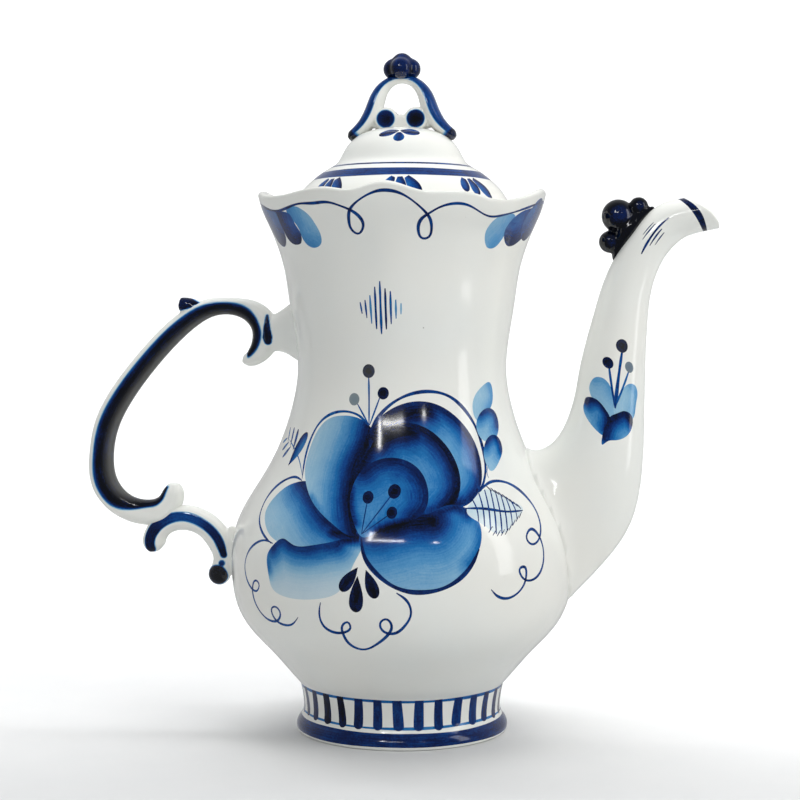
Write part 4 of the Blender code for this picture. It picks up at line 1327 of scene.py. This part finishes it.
def blossom_paint_and_shade(place):
    """Cobalt with painted shade: darkest in the creases between the lobes and low down."""
    turn = np.arctan2(place[:, 1], place[:, 0])
    crease = np.abs(np.cos(2 * turn)) ** 0.6
    # Painted shade: more cobalt in the creases between the lobes and towards the bottom.
    load = 0.84 + 0.12 * (1 - crease) + 0.08 * ease((256.5 - place[:, 2]) / 5.0)
    return washes(load, np.zeros(len(place)), turn * 2.0, place[:, 2])


def make_blossom(material):
    """Four lobes round a heart, on a short stalk."""
    solids = [ball_rings((0, 0, height), radius) for height, radius in (BLOSSOM_HEART, BLOSSOM_STALK)]
    distance, height, radius = BLOSSOM_LOBE
    for turn in np.arange(4) * math.pi / 2:
        centre = (distance * math.cos(turn), distance * math.sin(turn), height)
        solids.append(ball_rings(centre, radius))
    return fused("lid_blossom_glazed", solids, 0.42, 30, material, blossom_paint_and_shade)


# ------------------------------------------------------------------ stage

CAMERA_DISTANCE = 683.6         # millimetres from the pot's axis
CAMERA_HEIGHT = 158.0
CAMERA_YAW = math.radians(7.5)  # the camera stands this far round from the front to the spout
LENS = 79.65
SHIFT_RIGHT = -0.0025
SHIFT_DOWN = -0.1037


def area_light(name, location, target, size, power, colour=(1, 1, 1), visible=True):
    """A rectangular lamp; one that isn't visible lights the pot but makes no glint on it."""
    light = bpy.data.lights.new(name, "AREA")
    light.shape = "RECTANGLE"
    light.size, light.size_y = size
    light.energy = power
    light.color = colour
    item = bpy.data.objects.new(name, light)
    item.location = location
    aim = Vector(target) - Vector(location)
    item.rotation_euler = aim.to_track_quat("-Z", "Y").to_euler()
    item.visible_glossy = visible
    bpy.context.scene.collection.objects.link(item)


def paper_material():
    """Pale paper, with painted shade: a little darker towards the camera."""
    paper = bpy.data.materials.new("paper")
    nodes = Nodes(paper)
    place = nodes.add("ShaderNodeTexCoord").outputs["Object"]
    grain = nodes.noise(place, 60.0, 3.0)
    depth = nodes.add("ShaderNodeSeparateXYZ", None, Vector=place).outputs["Y"]
    shaded_near_tone = nodes.mix(grain, (0.60, 0.61, 0.615, 1.0), (0.63, 0.635, 0.635, 1.0))
    far_tone = nodes.mix(grain, (0.88, 0.885, 0.89, 1.0), (0.91, 0.91, 0.91, 1.0))
    # Painted shade: the paper runs from the darker tone in front to the lighter tone behind.
    nodes.feed(Base_Color=nodes.mix(nodes.math("MULTIPLY_ADD", depth, 2.6, 0.42), shaded_near_tone, far_tone))
    nodes.shader.inputs["Roughness"].default_value = 0.8
    return paper


def make_floor():
    """A sheet of paper that sweeps up behind the pot."""
    side, front, back, rise, sweep = 1.6, -1.3, 0.75, 1.5, 0.45
    profile = [(front, 0.0), (back, 0.0)]
    profile += [(back + sweep * math.sin(t), sweep - sweep * math.cos(t))
                for t in np.linspace(0.15, math.pi / 2, 10)]
    profile.append((back + sweep, rise))
    mesh = bpy.data.meshes.new("sweep")
    verts = [(x, y, z) for y, z in profile for x in (-side, side)]
    faces = [(2 * i, 2 * i + 1, 2 * i + 3, 2 * i + 2) for i in range(len(profile) - 1)]
    mesh.from_pydata(verts, [], faces)
    mesh.polygons.foreach_set("use_smooth", np.ones(len(faces), bool))
    mesh.materials.append(paper_material())
    floor = bpy.data.objects.new("sweep", mesh)
    floor.visible_glossy = False
    bpy.context.scene.collection.objects.link(floor)


def make_room():
    """A pale room, dimmer behind the camera."""
    world = bpy.data.worlds.new("studio")
    world.use_nodes = True
    tree = world.node_tree
    way = tree.nodes.new("ShaderNodeTexCoord").outputs["Generated"]
    parts = tree.nodes.new("ShaderNodeSeparateXYZ")
    tree.links.new(way, parts.inputs[0])
    lift = tree.nodes.new("ShaderNodeMath")
    lift.operation = "MULTIPLY_ADD"
    lift.inputs[1].default_value = 0.5
    lift.inputs[2].default_value = 0.5      # from -1 to 1 at the horizon, to 0 to 1
    tree.links.new(parts.outputs["Y"], lift.inputs[0])
    ramp = tree.nodes.new("ShaderNodeValToRGB")
    dim, bright = ramp.color_ramp.elements
    dim.position, dim.color = 0.40, (0.26, 0.27, 0.28, 1.0)
    bright.position, bright.color = 0.88, (0.98, 0.99, 1.0, 1.0)
    tree.links.new(lift.outputs[0], ramp.inputs["Fac"])
    ground = tree.nodes["Background"]
    tree.links.new(ramp.outputs["Color"], ground.inputs["Color"])
    ground.inputs["Strength"].default_value = 0.5
    bpy.context.scene.world = world
    bpy.context.scene.view_settings.view_transform = "Standard"


def make_lights():
    """Soft banks that only light, and a side window and three small lamps that make the glints."""
    middle = (0, 0, 0.12)
    area_light("key_bank", (0.80, -0.70, 0.95), middle, (0.7, 0.7), 7.0, (1.0, 0.99, 0.97), False)
    area_light("fill_bank", (-0.95, -0.6, 0.6), middle, (0.8, 0.8), 1.3, (0.98, 0.99, 1.0), False)
    area_light("top_bank", (0.0, -0.10, 1.10), middle, (0.6, 0.6), 3.2, visible=False)
    area_light("backdrop_bank", (-0.15, 0.45, 1.35), (-0.15, 1.2, 0.40), (2.0, 0.5), 22.0, visible=False)
    area_light("side_window", (0.86, -0.20, 0.36), middle, (0.20, 0.80), 1.2)
    area_light("sill_tube", (-0.03, -0.90, 0.60), (0, 0, 0.10), (0.34, 0.024), 0.8)
    area_light("jamb_tube", (-0.25, -0.90, 0.70), (0, 0, 0.10), (0.045, 0.20), 0.8)
    area_light("lamp_spot", (0.53, -0.90, 0.61), (0, 0, 0.10), (0.05, 0.03), 0.16)


def make_camera():
    """The photo's view: level, from in front and a little towards the spout."""
    data = bpy.data.cameras.new("camera")
    data.lens = LENS
    data.sensor_width = 36.0
    data.shift_x = SHIFT_RIGHT
    data.shift_y = SHIFT_DOWN
    camera = bpy.data.objects.new("camera", data)
    camera.location = (CAMERA_DISTANCE * MM * math.sin(CAMERA_YAW),
                       -CAMERA_DISTANCE * MM * math.cos(CAMERA_YAW), CAMERA_HEIGHT * MM)
    camera.rotation_euler = (math.pi / 2, 0.0, CAMERA_YAW)
    bpy.context.scene.collection.objects.link(camera)
    bpy.context.scene.camera = camera


def main():
    """Every piece replaces its CAD nodes and rides on their body."""
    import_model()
    make_camera()
    make_floor()
    make_room()
    make_lights()
    white = glaze_material("white_glaze")
    cobalt = glaze_material("cobalt_glaze")
    bands = ("pot_base", "pot_belly", "pot_shoulder", "pot_neck", "pot_mouth")
    pieces = [
        (make_pot(white), bands, "pot", "white_glaze"),
        (make_foot(white), ("foot_ring",), "pot", "white_glaze"),
        (make_spout(white), ("spout",), "pot", "white_glaze"),
        (make_berries(cobalt), ("spout_berries",), "pot", "cobalt_glaze"),
        (make_handle(white), ("handle",), "pot", "white_glaze"),
        (make_bracket(white), ("handle_bracket",), "pot", "white_glaze"),
        (make_lid_dome(white), ("lid_dome",), "lid", "white_glaze"),
        (make_loop(white), ("lid_loop",), "lid", "white_glaze"),
        (make_blossom(cobalt), ("lid_blossom",), "lid", "cobalt_glaze"),
    ]
    for piece, nodes, body, slot in pieces:
        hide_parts(*nodes)
        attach(piece, body)


main()
